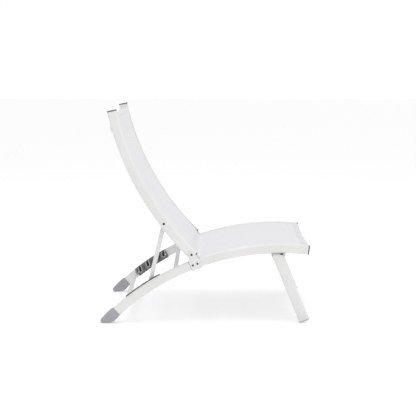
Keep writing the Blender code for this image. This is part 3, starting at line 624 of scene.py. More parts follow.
@dataclass(frozen=True)
class Finish:
    """A coated, moulded or metal finish.

    Attributes:
        slot: The record's slot it belongs to; not used.
        colour: Its linear colour.
        shade: The colour its slow drifts go to.
        roughness: Roughness where it is glossiest.
        dulled: Roughness where it is dullest.
        metallic: Metallic value.
        grain: Scale of its fine relief.
        relief: Height of the relief in metres.
        scuff: Strength of the scuffs.
        dust: Strength of the dust near the ground.
        coat: Weight of a clear top layer.
        stretch: How much the grain is drawn out along Y.
    """

    slot: Slot
    colour: tuple[float, float, float]
    shade: tuple[float, float, float]
    roughness: float = 0.40
    dulled: float = 0.55
    metallic: float = 0.0
    grain: float = 900.0
    relief: float = 0.00006
    scuff: float = 0.15
    dust: float = 0.3
    coat: float = 0.0
    stretch: float = 1.0

    def material(self, name: str) -> bpy.types.Material:
        """The node material, made once under a name."""
        if name in bpy.data.materials:
            return bpy.data.materials[name]
        material = bpy.data.materials.new(name)
        material.use_nodes = True
        bench = NodeBench(material.node_tree)
        shader = material.node_tree.nodes["Principled BSDF"]
        place = bench.add("ShaderNodeTexCoord").outputs["Object"]
        drawn = bench.add("ShaderNodeMapping", Vector=place,
                          Scale=(1.0, 1.0 / self.stretch, 1.0)).outputs["Vector"]
        grain = bench.add("ShaderNodeGroup")
        grain.node_tree = GROUPS["grain"]
        bench.feed(grain.inputs["Vector"], drawn)
        bench.feed(grain.inputs["Scale"], self.grain)
        wear = bench.add("ShaderNodeGroup")
        wear.node_tree = GROUPS["wear"]
        bench.feed(wear.inputs["Vector"], place)
        bench.feed(wear.inputs["Amount"], self.scuff)
        bench.feed(wear.inputs["Dust"], self.dust)
        tone = bench.tint(grain.outputs["Tone"], (*self.colour, 1.0), (*self.shade, 1.0))
        scuffed = bench.tint(wear.outputs["Scuff"], tone, (*[c * 0.72 + 0.06 for c in self.shade], 1.0))
        dusted = bench.tint(wear.outputs["Dust"], scuffed, DUST)
        gloss = bench.spread(grain.outputs["Gloss"], 0.0, 1.0, self.roughness, self.dulled)
        dull = bench.math("ADD", gloss, bench.math("MULTIPLY", wear.outputs["Scuff"], 0.3))
        bump = bench.add("ShaderNodeBump", Height=grain.outputs["Relief"],
                         Distance=self.relief, Strength=0.8)
        bench.feed(shader.inputs["Base Color"], dusted)
        bench.feed(shader.inputs["Roughness"], dull)
        bench.feed(shader.inputs["Normal"], bump.outputs["Normal"])
        shader.inputs["Metallic"].default_value = self.metallic
        shader.inputs["Coat Weight"].default_value = self.coat
        shader.inputs["Coat Roughness"].default_value = 0.25
        return material


@dataclass(frozen=True)
class MeshCloth:
    """Woven sling cloth of coated yarn, on the piece's own UV map in metres.

    Attributes:
        slot: The record's slot it belongs to; not used.
        yarn: Linear colour of the yarn, used on its crowns as a painted highlight.
        under: Painted shade: the yarn's colour darkened where it dips.
        hole: Painted shade for the openings, seen through the cloth.
        pitch: Distance between yarns.
        relief: Height of the weave.
        sheen: Weight of the soft sheen.
        roughness: Roughness where it is glossiest.
        dulled: Roughness where it is dullest.
    """

    slot: Slot = Slot.MESH
    yarn: tuple[float, float, float] = (0.785, 0.785, 0.80)
    under: tuple[float, float, float] = (0.71, 0.71, 0.73)
    hole: tuple[float, float, float] = (0.47, 0.47, 0.49)
    pitch: float = 0.0013
    relief: float = 0.0003
    sheen: float = 0.12
    roughness: float = 0.55
    dulled: float = 0.72

    def material(self, name: str) -> bpy.types.Material:
        """The node material, made once under a name."""
        if name in bpy.data.materials:
            return bpy.data.materials[name]
        material = bpy.data.materials.new(name)
        material.use_nodes = True
        bench = NodeBench(material.node_tree)
        shader = material.node_tree.nodes["Principled BSDF"]
        place = bench.add("ShaderNodeTexCoord")
        weave = bench.add("ShaderNodeGroup")
        weave.node_tree = GROUPS["weave"]
        bench.feed(weave.inputs["Vector"], place.outputs["UV"])
        bench.feed(weave.inputs["Pitch"], self.pitch)
        grain = bench.add("ShaderNodeGroup")
        grain.node_tree = GROUPS["grain"]
        bench.feed(grain.inputs["Vector"], place.outputs["Object"])
        bench.feed(grain.inputs["Drift"], 9.0)
        # Painted light and shade: crowns in the lighter yarn colour, dips in the darker one.
        yarn = bench.tint(weave.outputs["Yarn"], (*self.under, 1.0), (*self.yarn, 1.0))
        drift = bench.math("MULTIPLY", grain.outputs["Tone"], 0.25)
        toned = bench.tint(drift, yarn, (*self.under, 1.0))
        # Painted shade: the openings darkened for the shade seen through the cloth.
        open_weave = bench.tint(weave.outputs["Hole"], toned, (*self.hole, 1.0))
        bump = bench.add("ShaderNodeBump", Height=weave.outputs["Relief"],
                         Distance=self.relief, Strength=0.7)
        bench.feed(shader.inputs["Base Color"], open_weave)
        dull = bench.spread(grain.outputs["Gloss"], 0.0, 1.0, self.roughness, self.dulled)
        bench.feed(shader.inputs["Roughness"], dull)
        bench.feed(shader.inputs["Normal"], bump.outputs["Normal"])
        shader.inputs["Sheen Weight"].default_value = self.sheen
        shader.inputs["Sheen Roughness"].default_value = 0.5
        return material


class Look(Enum):
    """The finishes that pieces are dressed in, by name."""

    COAT = Finish(Slot.COAT, (0.785, 0.785, 0.775), (0.745, 0.745, 0.73), 0.32, 0.44, coat=0.10)
    CLOTH = MeshCloth()
    # Darker copy of the cloth for the front hem: partly its doubled layer, partly painted shade on the edge
    # that turns down.
    HEM = MeshCloth(yarn=(0.735, 0.735, 0.75), under=(0.66, 0.66, 0.68))
    THREAD = Finish(Slot.MESH, (0.80, 0.80, 0.82), (0.68, 0.68, 0.71), 0.60, 0.75, grain=2500.0,
                    scuff=0.0, dust=0.0)
    RACK = Finish(Slot.GREY, (0.17, 0.17, 0.17), (0.135, 0.135, 0.135), 0.45, 0.62, grain=1400.0,
                  relief=0.00012)
    # Painted highlight: a pale copy of the rack's grey plastic for the rims round its pockets.
    RIM = Finish(Slot.GREY, (0.60, 0.60, 0.60), (0.50, 0.50, 0.50), 0.45, 0.62, grain=1400.0)
    CAP = Finish(Slot.GREY, (0.16, 0.16, 0.165), (0.12, 0.12, 0.125), 0.45, 0.60, grain=1400.0,
                 relief=0.00010)
    BLACK = Finish(Slot.GREY, (0.020, 0.020, 0.021), (0.013, 0.013, 0.014), 0.42, 0.60, grain=1400.0)
    BOOT = Finish(Slot.PALE, (0.40, 0.40, 0.43), (0.33, 0.33, 0.36), 0.48, 0.66, grain=1100.0,
                  relief=0.00014, scuff=0.35, dust=0.45)
    SADDLE = Finish(Slot.PALE, (0.60, 0.60, 0.61), (0.52, 0.52, 0.53), 0.48, 0.62, grain=1100.0)
    STEEL = Finish(Slot.DARK, (0.055, 0.055, 0.058), (0.03, 0.03, 0.032), 0.30, 0.48, metallic=0.8,
                   grain=1600.0, relief=0.00003)
    ALLOY = Finish(Slot.ALLOY, (0.60, 0.60, 0.60), (0.50, 0.50, 0.505), 0.26, 0.42, metallic=1.0,
                   grain=2600.0, relief=0.00003, stretch=14.0)


def deliver(thing: bpy.types.Object, look: Look, body: Body,
            stands_for: Sequence[str] = ()) -> None:
    """Dress a finished piece, hand it to its body and report it.

    Args:
        thing: The piece, its place in its mesh.
        look: Its finish.
        body: The body that it rides on.
        stands_for: CAD nodes that it replaces.
    """
    thing.data.materials.clear()
    thing.data.materials.append(look.value.material(look.name.lower() + "_finish"))
    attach(thing, body.value)
    if stands_for:
        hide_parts(*stands_for)
    LOG.info("%-28s %6d faces on %s", thing.name, len(thing.data.polygons), body.value)


def dress_node(node: str, look: Look) -> None:
    """Give a CAD node that stays a procedural finish."""
    thing = frame["nodes"][node]
    material = look.value.material(look.name.lower() + "_finish")
    if thing.material_slots:
        for socket in thing.material_slots:
            socket.material = material
    else:
        thing.data.materials.append(material)
    LOG.info("%-28s kept from the frame", node)


# ---------------------------------------------------------------- seat frame
@dataclass
class SeatFrame:
    """Seat rails, rear legs, hinge brackets, boots, racks and the stretchers between them."""

    bracket_plate: float = 0.0026
    bracket_front: float = ARCH.at_x(-0.0180)
    lug_radius: float = 0.0140
    rivet_stations: tuple[float, float] = (-0.0506, -0.0308)
    rack_span: tuple[float, float] = (0.0700, 0.2436)
    rack_low: float = -0.0190
    rack_high: float = 0.0232
    rack_thickness: float = 0.0100
    screws: tuple[float, float] = (0.0765, 0.2371)
    sink: float = 0.0024
    rack_back: float = 0.0030
    pocket_width: float = 0.0125
    pocket_lean: float = 24.0
    slot_width: float = 0.0060
    stretcher_radius: float = 0.0100
    cap: float = 0.0050
    toe_radius: float = 0.0100
    sole: float = 0.0300
    heel_radius: float = 0.0520
    heel_height: float = 0.0240
    crown_radius: float = 0.1200
    crown_rise: float = 0.0026
    seam_width: float = 0.0026
    rim: float = 0.0026
    rivet_head: float = 0.0043
    rivet_tail: float = 0.0036
    screw_head: float = 0.0043
    fixing_depth: float = 0.004
    # Length of the black plates painted as shade on the rack's pocket floors.
    pad_length: float = 0.012

    @property
    def bracket_outer(self) -> float:
        """Outer face of the hinge brackets."""
        return RAIL.outer + CLEAR + self.bracket_plate

    @property
    def bracket_inner(self) -> float:
        """Inner face of the hinge brackets."""
        return RAIL.inner - CLEAR - self.bracket_plate

    @property
    def rack_inner(self) -> float:
        """Inner face of the racks."""
        return RAIL.inner - GAP - self.rack_thickness

    def build(self) -> None:
        """Make every piece of the seat frame."""
        for side in Side:
            self.rails(side)
            self.bracket(side)
            self.boot(side)
            self.rack(side)
            self.leg_bracket(side)
        self.stretcher("lower_stretcher_tube", ARCH.at(up_leg(0.0560)), "lower_stretcher")
        self.stretcher("upper_stretcher_tube", ARCH.at(ARCH.at_x(-0.1280)), "upper_stretcher")
        self.stretcher("seat_stretcher_tube", ARCH.at(ARCH.at_x(0.3950), -0.0060), "seat_stretcher")

    def rails(self, side: Side) -> None:
        """Seat rail, rear leg and the seat's end cap on one side."""
        word = side.word
        rail = oval_bar(f"seat_rail_tube_{word}", side, ARCH, SEAM - GAP / ARCH.radius, SEAT_FRONT,
                        grooved=True)
        deliver(rail, Look.COAT, Body.FRAME, [f"seat_rail_{word}"])
        leg = oval_bar(f"rear_leg_tube_{word}", side, ARCH, LEG_END, SEAM + GAP / ARCH.radius)
        deliver(leg, Look.COAT, Body.FRAME, [f"rear_leg_{word}"])
        half = self.seam_width / 2 / ARCH.radius
        ring = oval_bar(f"seam_ring_{word}", side, ARCH, SEAM + half, SEAM - half, grow=0.0003, pitch=0.001)
        deliver(ring, Look.RACK, Body.FRAME)
        start = SEAT_FRONT - GAP / ARCH.radius
        cap = oval_bar(f"seat_cap_{word}", side, ARCH, start, SEAT_FRONT - self.cap / ARCH.radius,
                       pitch=0.002)
        tidy(soften(cap, 0.0014, 4, 60.0))
        deliver(cap, Look.BLACK, Body.FRAME, [f"seat_end_cap_{word}"])
        dress_node(f"rail_joiner_{word}", Look.ALLOY)

    def bracket(self, side: Side) -> None:
        """Hinge bracket, folded round the rails, and its two rivets."""
        word = side.word
        sign = side.value
        low = -RAIL.depth / 2 - GAP - self.bracket_plate
        high = RAIL.depth / 2 - 0.003
        width = self.bracket_outer - self.bracket_inner
        middle = sign * (self.bracket_outer + self.bracket_inner) / 2
        name = f"hinge_bracket_plate_{word}"
        start = plate(name, ARCH.at(SEAM, (low + high) / 2, middle), side.inward, ARCH.out(SEAM),
                      width, high - low)
        band = spin(start, ARCH, self.bracket_front - SEAM)
        lug = rod(name, HINGE, self.lug_radius, sign * self.bracket_inner, sign * self.bracket_outer, 56)
        thing = hull(band, lug)
        reach = 0.03
        room = RAIL.width + 2 * CLEAR
        floor = -RAIL.depth / 2 - GAP
        ceiling = 0.12
        mouth = plate("tool", ARCH.at(SEAM + reach, (floor + ceiling) / 2, sign * RAIL.middle), side.inward,
                      ARCH.out(SEAM + reach), room, ceiling - floor)
        cut(thing, spin(mouth, ARCH, self.bracket_front - SEAM - 2 * reach))
        tidy(soften(thing, 0.0007, 3, 50.0))
        deliver(thing, Look.COAT, Body.FRAME, [f"hinge_bracket_{word}"])
        for station, end in zip(self.rivet_stations, ("rear", "front")):
            place = ARCH.at(ARCH.at_x(station))
            rivet = head(f"rivet_{word}_{end}", place, sign * (self.bracket_outer + GAP), sign,
                         self.rivet_head, 0.0015, self.fixing_depth)
            inner = head(f"rivet_tail_{word}_{end}", place, sign * (self.bracket_inner - GAP), -sign,
                         self.rivet_tail, 0.0012, self.fixing_depth)
            deliver(tidy(join(rivet, inner)), Look.STEEL, Body.FRAME, [f"bracket_rivet_{word}_{end}"])

    def boot(self, side: Side) -> None:
        """Moulded foot on the rear leg's lower end: rounded toe, flat sole and a collar."""
        word = side.word
        sign = side.value
        grow = 0.0008
        y_in, y_out = sign * (RAIL.inner - grow), sign * (RAIL.outer + grow)
        name = f"boot_{word}"
        mouth = LEG_END + GAP / ARCH.radius
        collar = oval_bar(name, side, ARCH, mouth, mouth + 0.0015 / ARCH.radius, grow=grow, pitch=0.001)
        top = ARCH.at(mouth, RAIL.depth / 2)
        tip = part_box(f"rear_foot_cap_{word}")[0].x
        toe_place = Vector((tip + self.toe_radius, 0.0, self.toe_radius))
        toe = rod(name, toe_place, self.toe_radius, y_in, y_out, 64)
        heel = rod(name, Vector((tip + self.sole, 0.0, self.heel_radius)), self.heel_radius, y_in, y_out, 128)
        keep(heel, Vector((tip + self.sole, 0.0, 0.0)), Vector((1.0, 0.0, 0.0)))
        keep(heel, Vector((0.0, 0.0, self.heel_height)), -UP)
        fall = (toe_place - top).normalized()
        proud = Vector((fall.z, 0.0, -fall.x))
        chord = top.lerp(toe_place + proud * self.toe_radius, 0.5)
        crown = rod(name, chord + proud * (self.crown_rise - self.crown_radius), self.crown_radius,
                    y_in, y_out, 256)
        keep(crown, chord, proud)
        thing = hull(collar, toe, heel, crown)
        tidy(soften(thing, 0.0034, 5, 55.0), 40.0)
        rim = oval_bar(name, side, ARCH, mouth - 0.0030 / ARCH.radius, mouth + 0.0010 / ARCH.radius,
                       grow=0.0013, pitch=0.001)
        tidy(soften(rim, 0.0008, 3, 55.0))
        deliver(join(thing, rim), Look.BOOT, Body.FRAME, [f"rear_foot_cap_{word}"])

    def rack(self, side: Side) -> None:
        """Toothed plate on the rear leg's inner face, with its two screws."""
        word = side.word
        sign = side.value
        start, end = (up_leg(distance) for distance in self.rack_span)
        middle = sign * (self.rack_inner + self.rack_thickness / 2)
        level = (self.rack_low + self.rack_high) / 2
        blank = plate(f"rack_plate_{word}", ARCH.at(start, level, middle), side.inward, ARCH.out(start),
                      self.rack_thickness, self.rack_high - self.rack_low)
        thing = spin(blank, ARCH, end - start, 0.008)
        y_open = sign * (self.rack_inner - 0.004)
        y_floor = sign * (RAIL.inner - GAP - self.rack_back)
        for place in POCKETS:
            mouth = self.lean(place)
            cut(thing, stadium("tool", place, place + mouth * 0.05, self.pocket_width / 2, y_open, y_floor))
        for lower, upper in zip(POCKETS, POCKETS[1:]):
            middle_angle = math.atan2(*reversed(((lower + upper) / 2 - ARCH.centre).xz))
            place = ARCH.at(middle_angle)
            mouth = self.lean(place)
            cut(thing, stadium("tool", place - mouth * 0.007, place + mouth * 0.012, self.slot_width / 2,
                               y_open, y_floor, 28))
        for distance in self.screws:
            place = ARCH.at(up_leg(distance))
            cut(thing, rod("tool", place, 0.0046, y_open, sign * (self.rack_inner + self.sink), 32))
        tidy(soften(thing, 0.0005, 2, 50.0))
        deliver(thing, Look.RACK, Body.FRAME, [f"rack_{word}"])
        self.rims(side)
        for distance, where in zip(self.screws, ("low", "high")):
            seat = sign * (self.rack_inner + self.sink - GAP)
            screw = head(f"rack_screw_head_{word}_{where}", ARCH.at(up_leg(distance)), seat, -sign,
                         self.screw_head, 0.0016, self.fixing_depth, socket=6)
            deliver(screw, Look.ALLOY, Body.FRAME, [f"rack_screw_{word}_{where}"])

    def rims(self, side: Side) -> None:
        """Rims round the pockets, barely proud of the rack and painted pale as a highlight, with black plates
        on the pocket floors as painted shade.
        """
        sign = side.value
        y_top = sign * (self.rack_inner - 0.0004)
        y_low = sign * (self.rack_inner + 0.0010)
        rims = []
        for place in POCKETS:
            mouth = self.lean(place)
            room = self.rack_high - 0.0010
            half = self.pocket_width / 2
            band = stadium(f"rack_rims_{side.word}", place, place + mouth * 0.05, half + self.rim,
                           y_low, y_top)
            cut(band, stadium("tool", place, place + mouth * 0.07, half, y_low - sign * 0.01,
                              y_top + sign * 0.01))
            outward = (place - ARCH.centre).normalized()
            with editing(band):
                bpy.ops.mesh.bisect(plane_co=ARCH.centre + outward * (ARCH.radius + room), plane_no=outward,
                                    use_fill=True, clear_outer=True)
            rims.append(band)
        # The rims get the pale grey as a painted highlight.
        deliver(tidy(join(rims[0], *rims[1:])), Look.RIM, Body.FRAME)
        # Painted shade: thin black plates on the pocket floors stand in for the shade deep in the pockets.
        y_floor = sign * (RAIL.inner - GAP - self.rack_back)
        pocket_shades = [stadium(f"rack_pads_{side.word}", place, place + self.lean(place) * self.pad_length,
                        self.pocket_width / 2 - 0.0006, y_floor - sign * 0.0006,
                        y_floor + sign * 0.0004) for place in POCKETS]
        deliver(tidy(join(pocket_shades[0], *pocket_shades[1:])), Look.BLACK, Body.FRAME)

    def lean(self, place: Vector) -> Vector:
        """Direction of a pocket's mouth, leaning towards the seat."""
        outward = (place - ARCH.centre).normalized()
        return Matrix.Rotation(math.radians(self.pocket_lean), 3, "Y") @ outward

    def leg_bracket(self, side: Side) -> None:
        """Saddle of the front leg under the seat rail: the frame's own shape with its edges rounded."""
        word = side.word
        idle()
        source = frame["nodes"][f"leg_bracket_{word}"]
        thing = source.copy()
        thing.data = source.data.copy()
        thing.name = f"leg_saddle_{word}"
        thing.parent = None
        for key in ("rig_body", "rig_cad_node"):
            if key in thing:
                del thing[key]
        bpy.context.scene.collection.objects.link(thing)
        with editing(thing):
            bpy.ops.mesh.remove_doubles(threshold=1e-5)
            bpy.ops.mesh.dissolve_limited(angle_limit=math.radians(1.5))
        tidy(soften(thing, 0.0005, 2, 50.0))
        deliver(thing, Look.SADDLE, Body.FRAME, [f"leg_bracket_{word}"])

    def stretcher(self, name: str, place: Vector, node: str) -> None:
        """Round tube between the two sides with a weld bead at each end."""
        reach = RAIL.inner - GAP
        thing = rod(name, place, self.stretcher_radius, -reach, reach, 56)
        for side in Side:
            idle()
            bpy.ops.mesh.primitive_torus_add(
                location=place + ACROSS * side.value * (reach - 0.0010), rotation=(math.pi / 2, 0.0, 0.0),
                major_radius=self.stretcher_radius, minor_radius=0.0010, major_segments=48, minor_segments=8)
            thing = join(thing, named("bead"))
        deliver(tidy(thing), Look.COAT, Body.FRAME, [node])


# ---------------------------------------------------------------- backrest
@dataclass
class Backrest:
    """Backrest rails with their caps, hinge bolts and the bar behind the sling."""

    tail: float = 0.0105
    cap: float = 0.0050
    low_cap: float = 0.0042
    bar_drop: float = 0.0720
    bar_height: float = 0.0300
    bar_depth: float = 0.0170
    bar_proud: float = 0.0050

    def build(self, seat: SeatFrame) -> None:
        """Make every piece of the backrest."""
        for side in Side:
            self.rail(side)
            self.bolt(side, seat)
        self.bar()

    def rail(self, side: Side) -> None:
        """One rail and its two end caps."""
        word = side.word
        step = 1.0 / BACK.radius
        rail = oval_bar(f"backrest_tube_{word}", side, BACK, up_back(-self.tail),
                        up_back(BACK_LENGTH), grooved=True)
        deliver(rail, Look.COAT, Body.BACKREST, [f"backrest_rail_{word}"])
        start = up_back(BACK_LENGTH + GAP)
        top = oval_bar(f"backrest_cap_{word}", side, BACK, start, start - self.cap * step, pitch=0.002)
        tidy(soften(top, 0.0015, 4, 60.0))
        deliver(top, Look.CAP, Body.BACKREST, [f"backrest_top_cap_{word}"])
        start = up_back(-self.tail - GAP)
        low = oval_bar(f"backrest_tail_cap_{word}", side, BACK, start, start + self.low_cap * step,
                       pitch=0.001)
        tidy(soften(low, 0.0016, 3, 60.0))
        deliver(low, Look.BLACK, Body.BACKREST, [f"backrest_low_cap_{word}"])

    def bolt(self, side: Side, seat: SeatFrame) -> None:
        """Hinge bolt with its socket head outboard and its cap nut inboard."""
        word = side.word
        sign = side.value
        outer = sign * (seat.bracket_outer + GAP)
        bolt = head(f"hinge_bolt_head_{word}", HINGE, outer, sign, 0.0050, 0.0022, 0.034, socket=6)
        deliver(bolt, Look.STEEL, Body.HINGE, [f"hinge_bolt_{word}"])
        nut = cap_nut(f"hinge_cap_nut_{word}", HINGE, sign * (seat.bracket_inner - GAP), -sign)
        deliver(nut, Look.ALLOY, Body.HINGE, [f"hinge_nut_{word}"])

    def bar(self) -> None:
        """Flat oval stretcher behind the sling."""
        angle = up_back(BACK_LENGTH - self.bar_drop)
        rise = -RAIL.depth / 2 - self.bar_proud + self.bar_depth / 2
        deep = BACK.out(angle)
        along = deep.cross(ACROSS)
        reach = RAIL.inner - GAP
        place = BACK.at(angle, rise, -reach)
        thing = plate("top_bar", place, along, deep, self.bar_height, self.bar_depth)
        round_corners(thing, self.bar_depth / 2 - 0.0002, 10)
        with editing(thing):
            bpy.ops.mesh.extrude_region_move(TRANSFORM_OT_translate={"value": (0.0, 2 * reach, 0.0)})
        deliver(tidy(thing), Look.COAT, Body.BACKREST, ["top_stretcher"])


def cap_nut(name: str, place: Vector, y_base: float, facing: int) -> bpy.types.Object:
    """Hexagonal nut with a domed cap."""
    hexagon = rod(name, place, 0.0062, y_base, y_base + facing * 0.0026, 6)
    soften(hexagon, 0.0004, 2, 40.0)
    dome = head(name, place, y_base + facing * 0.0024, facing, 0.0048, 0.0021, 0.0010)
    return tidy(join(hexagon, dome))


# ---------------------------------------------------------------- prop
@dataclass
class Prop:
    """The two struts, the bar that rests in the racks, and their pins."""

    strut_width: float = 0.0185
    strut_thickness: float = 0.0110
    bar_radius: float = 0.0050
    spacer_radius: float = 0.0070
    bolt_head: float = 0.0050
    bolt_length: float = 0.050

    def build(self, seat: SeatFrame) -> None:
        """Make every piece of the prop."""
        outer = seat.rack_inner - 5 * CLEAR
        inner = outer - self.strut_thickness
        for side in Side:
            word = side.word
            sign = side.value
            strut = stadium(f"strut_{word}", PROP_AXIS, FOOT, self.strut_width / 2, sign * inner,
                            sign * outer, 48)
            tidy(soften(strut, 0.0016, 4, 50.0))
            deliver(strut, Look.COAT, Body.PROP, [f"prop_strut_{word}"])
            bolt = head(f"prop_bolt_head_{word}", PROP_AXIS, sign * (RAIL.outer + GAP), sign,
                        self.bolt_head, 0.0022, self.bolt_length, socket=6)
            deliver(bolt, Look.STEEL, Body.PROP_PINS, [f"prop_bolt_{word}"])
            nut = cap_nut(f"prop_cap_nut_{word}", PROP_AXIS, sign * (inner - GAP), -sign)
            deliver(nut, Look.ALLOY, Body.PROP_PINS, [f"prop_nut_{word}"])
            spacer = rod(f"spacer_{word}", PROP_AXIS, self.spacer_radius, sign * (outer + CLEAR),
                         sign * (RAIL.inner - CLEAR))
            tidy(soften(spacer, 0.0006, 3, 50.0))
            deliver(spacer, Look.CAP, Body.PROP, [f"prop_spacer_{word}"])
            button = rod(f"bar_button_{word}", FOOT, self.bar_radius + 0.0008, sign * (outer + GAP),
                         sign * (seat.rack_inner - CLEAR))
            tidy(soften(button, 0.0006, 3, 50.0))
            deliver(button, Look.CAP, Body.PROP, [f"foot_button_{word}"])
        bar = rod("rest_bar", FOOT, self.bar_radius, -outer, outer, 40)
        deliver(tidy(soften(bar, 0.0005, 2, 50.0)), Look.ALLOY, Body.PROP, ["foot_bar"])


# ---------------------------------------------------------------- front legs
@dataclass
class FrontLegs:
    """The folding front leg frame: two flat oval legs, their plugs, pins and crossbar."""

    station: float = 0.2990
    lean: float = math.radians(22.6)
    depth: float = 0.0460
    width: float = 0.0220
    corner: float = 0.0105
    plug: float = 0.0050
    plug_round: float = 0.0048
    collar: float = 0.0018
    base: float = 0.0048
    pin_inset: float = 0.0080
    pin_head: float = 0.0066
    # Length of the black plate painted as the shadow gap above the front leg.
    pad_reach: float = 0.0140
    top_z: float = ARCH.at(ARCH.at_x(station), -RAIL.depth / 2 - GAP - base).z - CLEAR
    sunk: float = -0.0034
    crossbar_height: float = 0.0900

    @property
    def down(self) -> Vector:
        """Direction down the leg."""
        return Vector((math.sin(self.lean), 0.0, -math.cos(self.lean)))

    @property
    def ahead(self) -> Vector:
        """Direction across the leg's depth, towards the front."""
        return Vector((math.cos(self.lean), 0.0, math.sin(self.lean)))

    @property
    def pin(self) -> Vector:
        """The leg's pin."""
        return Vector((self.station, 0.0, self.top_z - self.pin_inset))

    @property
    def top(self) -> Vector:
        """The leg's axis level with the pin."""
        return self.pin + self.ahead * (self.depth / 2 - self.pin_inset)

    @property
    def end(self) -> float:
        """How far down the leg its plug ends."""
        rear = self.top - self.ahead * (self.depth / 2)
        return (rear.z - self.sunk) / -self.down.z

    def section(self, name: str, side: Side, distance: float, grow: float = 0.0) -> bpy.types.Object:
        """The leg's oval as a plate, at a distance down the leg."""
        place = self.top + self.down * distance + ACROSS * side.value * RAIL.middle
        thing = plate(name, place, ACROSS, self.ahead, self.width + 2 * grow, self.depth + 2 * grow)
        round_corners(thing, self.corner + grow, 9)
        return thing

    def trimmed(self, point: Vector) -> Vector:
        """Slide a point along the leg to its top: level, and round the pin behind it."""
        level = point + self.down * ((self.top_z - point.z) / self.down.z)
        if level.x >= self.pin.x:
            return level
        offset = Vector((point.x - self.pin.x, 0.0, point.z - self.pin.z))
        along = offset.dot(self.down)
        square = max(0.0, along ** 2 - offset.length_squared + self.pin_inset ** 2)
        return point - self.down * (along + math.sqrt(square))

    def build(self) -> None:
        """Make every piece of the front leg frame."""
        for side in Side:
            self.leg(side)
            self.foot(side)
            self.fittings(side)
        drop = (self.top.z - self.crossbar_height) / -self.down.z
        place = self.top + self.down * drop
        reach = RAIL.middle - self.width / 2 - GAP
        bar = rod("leg_crossbar", place, 0.0100, -reach, reach, 56)
        deliver(tidy(bar), Look.COAT, Body.FRONT_LEGS, ["front_crossbar"])

    def leg(self, side: Side) -> None:
        """One leg, cut level under the rail and square at the foot."""
        thing = self.section(f"front_leg_tube_{side.word}", side, self.end - self.plug - GAP)
        rise = -self.down * (self.end - self.plug - GAP - 0.035)
        with editing(thing):
            bpy.ops.mesh.extrude_region_move(TRANSFORM_OT_translate={"value": rise})
            bpy.ops.mesh.extrude_region_move(TRANSFORM_OT_translate={"value": -self.down * 0.030})
            grid = bmesh.from_edit_mesh(thing.data)
            for vert in [v for v in grid.verts if v.select]:
                vert.co = self.trimmed(vert.co)
            bmesh.update_edit_mesh(thing.data)
        tidy(thing, 35.0)
        deliver(thing, Look.COAT, Body.FRONT_LEGS, [f"front_leg_{side.word}"])

    def foot(self, side: Side) -> None:
        """Rounded plug in the leg's end, cut level where it stands."""
        thing = self.section(f"leg_plug_{side.word}", side, self.end - self.plug)
        far = self.top + self.down * self.end

        def on_end(edge: bmesh.types.BMEdge) -> bool:
            """Whether an edge is on the plug's lower end."""
            return all(abs((v.co - far).dot(self.down)) < 1e-5 for v in edge.verts)

        with editing(thing):
            bpy.ops.mesh.extrude_region_move(TRANSFORM_OT_translate={"value": self.down * self.plug})
            pick(thing, "EDGE", on_end)
            bpy.ops.mesh.bevel(offset=self.plug_round, segments=6, affect="EDGES")
            bpy.ops.mesh.select_all(action="SELECT")
            bpy.ops.mesh.bisect(plane_co=(0.0, 0.0, 0.0), plane_no=UP, use_fill=True, clear_inner=True)
        tidy(thing, 45.0)
        deliver(thing, Look.COAT, Body.FRONT_LEGS, [f"front_foot_plug_{side.word}"])
        neck = self.section(f"plug_collar_{side.word}", side, self.end - self.plug - self.collar, 0.0003)
        with editing(neck):
            bpy.ops.mesh.extrude_region_move(TRANSFORM_OT_translate={"value": self.down * self.collar})
        deliver(tidy(neck, 45.0), Look.CAP, Body.FRONT_LEGS)

    def fittings(self, side: Side) -> None:
        """The leg's pin, the plug inside its head, and a black plate under the seat rail painted as the
        shadow gap above the leg.
        """
        sign = side.value
        face = RAIL.middle - self.width / 2 - CLEAR - 0.0050 - GAP
        pin = head(f"leg_pin_head_{side.word}", self.pin, sign * face, -sign, self.pin_head, 0.0026,
                   0.0220, socket=6)
        deliver(pin, Look.STEEL, Body.FRONT_LEGS, [f"leg_pin_{side.word}"])
        dress_node(f"front_leg_head_{side.word}", Look.BLACK)
        # Painted shade: a black plate below the seat rail's outer edge, where the shadow gap between the rail
        # and the leg's plug falls.
        start = ARCH.at_x(self.station - 0.0125) - 0.0380 / ARCH.radius
        low = -RAIL.depth / 2 - GAP - self.base
        middle = ARCH.at(start, low + 0.0031, sign * (RAIL.outer - 0.0037))
        blank = plate(f"stop_pad_{side.word}", middle, side.inward, ARCH.out(start), 0.0080, 0.0060)
        gap_shade = spin(blank, ARCH, -self.pad_reach / ARCH.radius, 0.005)
        deliver(tidy(soften(gap_shade, 0.0010, 3, 50.0)), Look.BLACK, Body.FRAME)


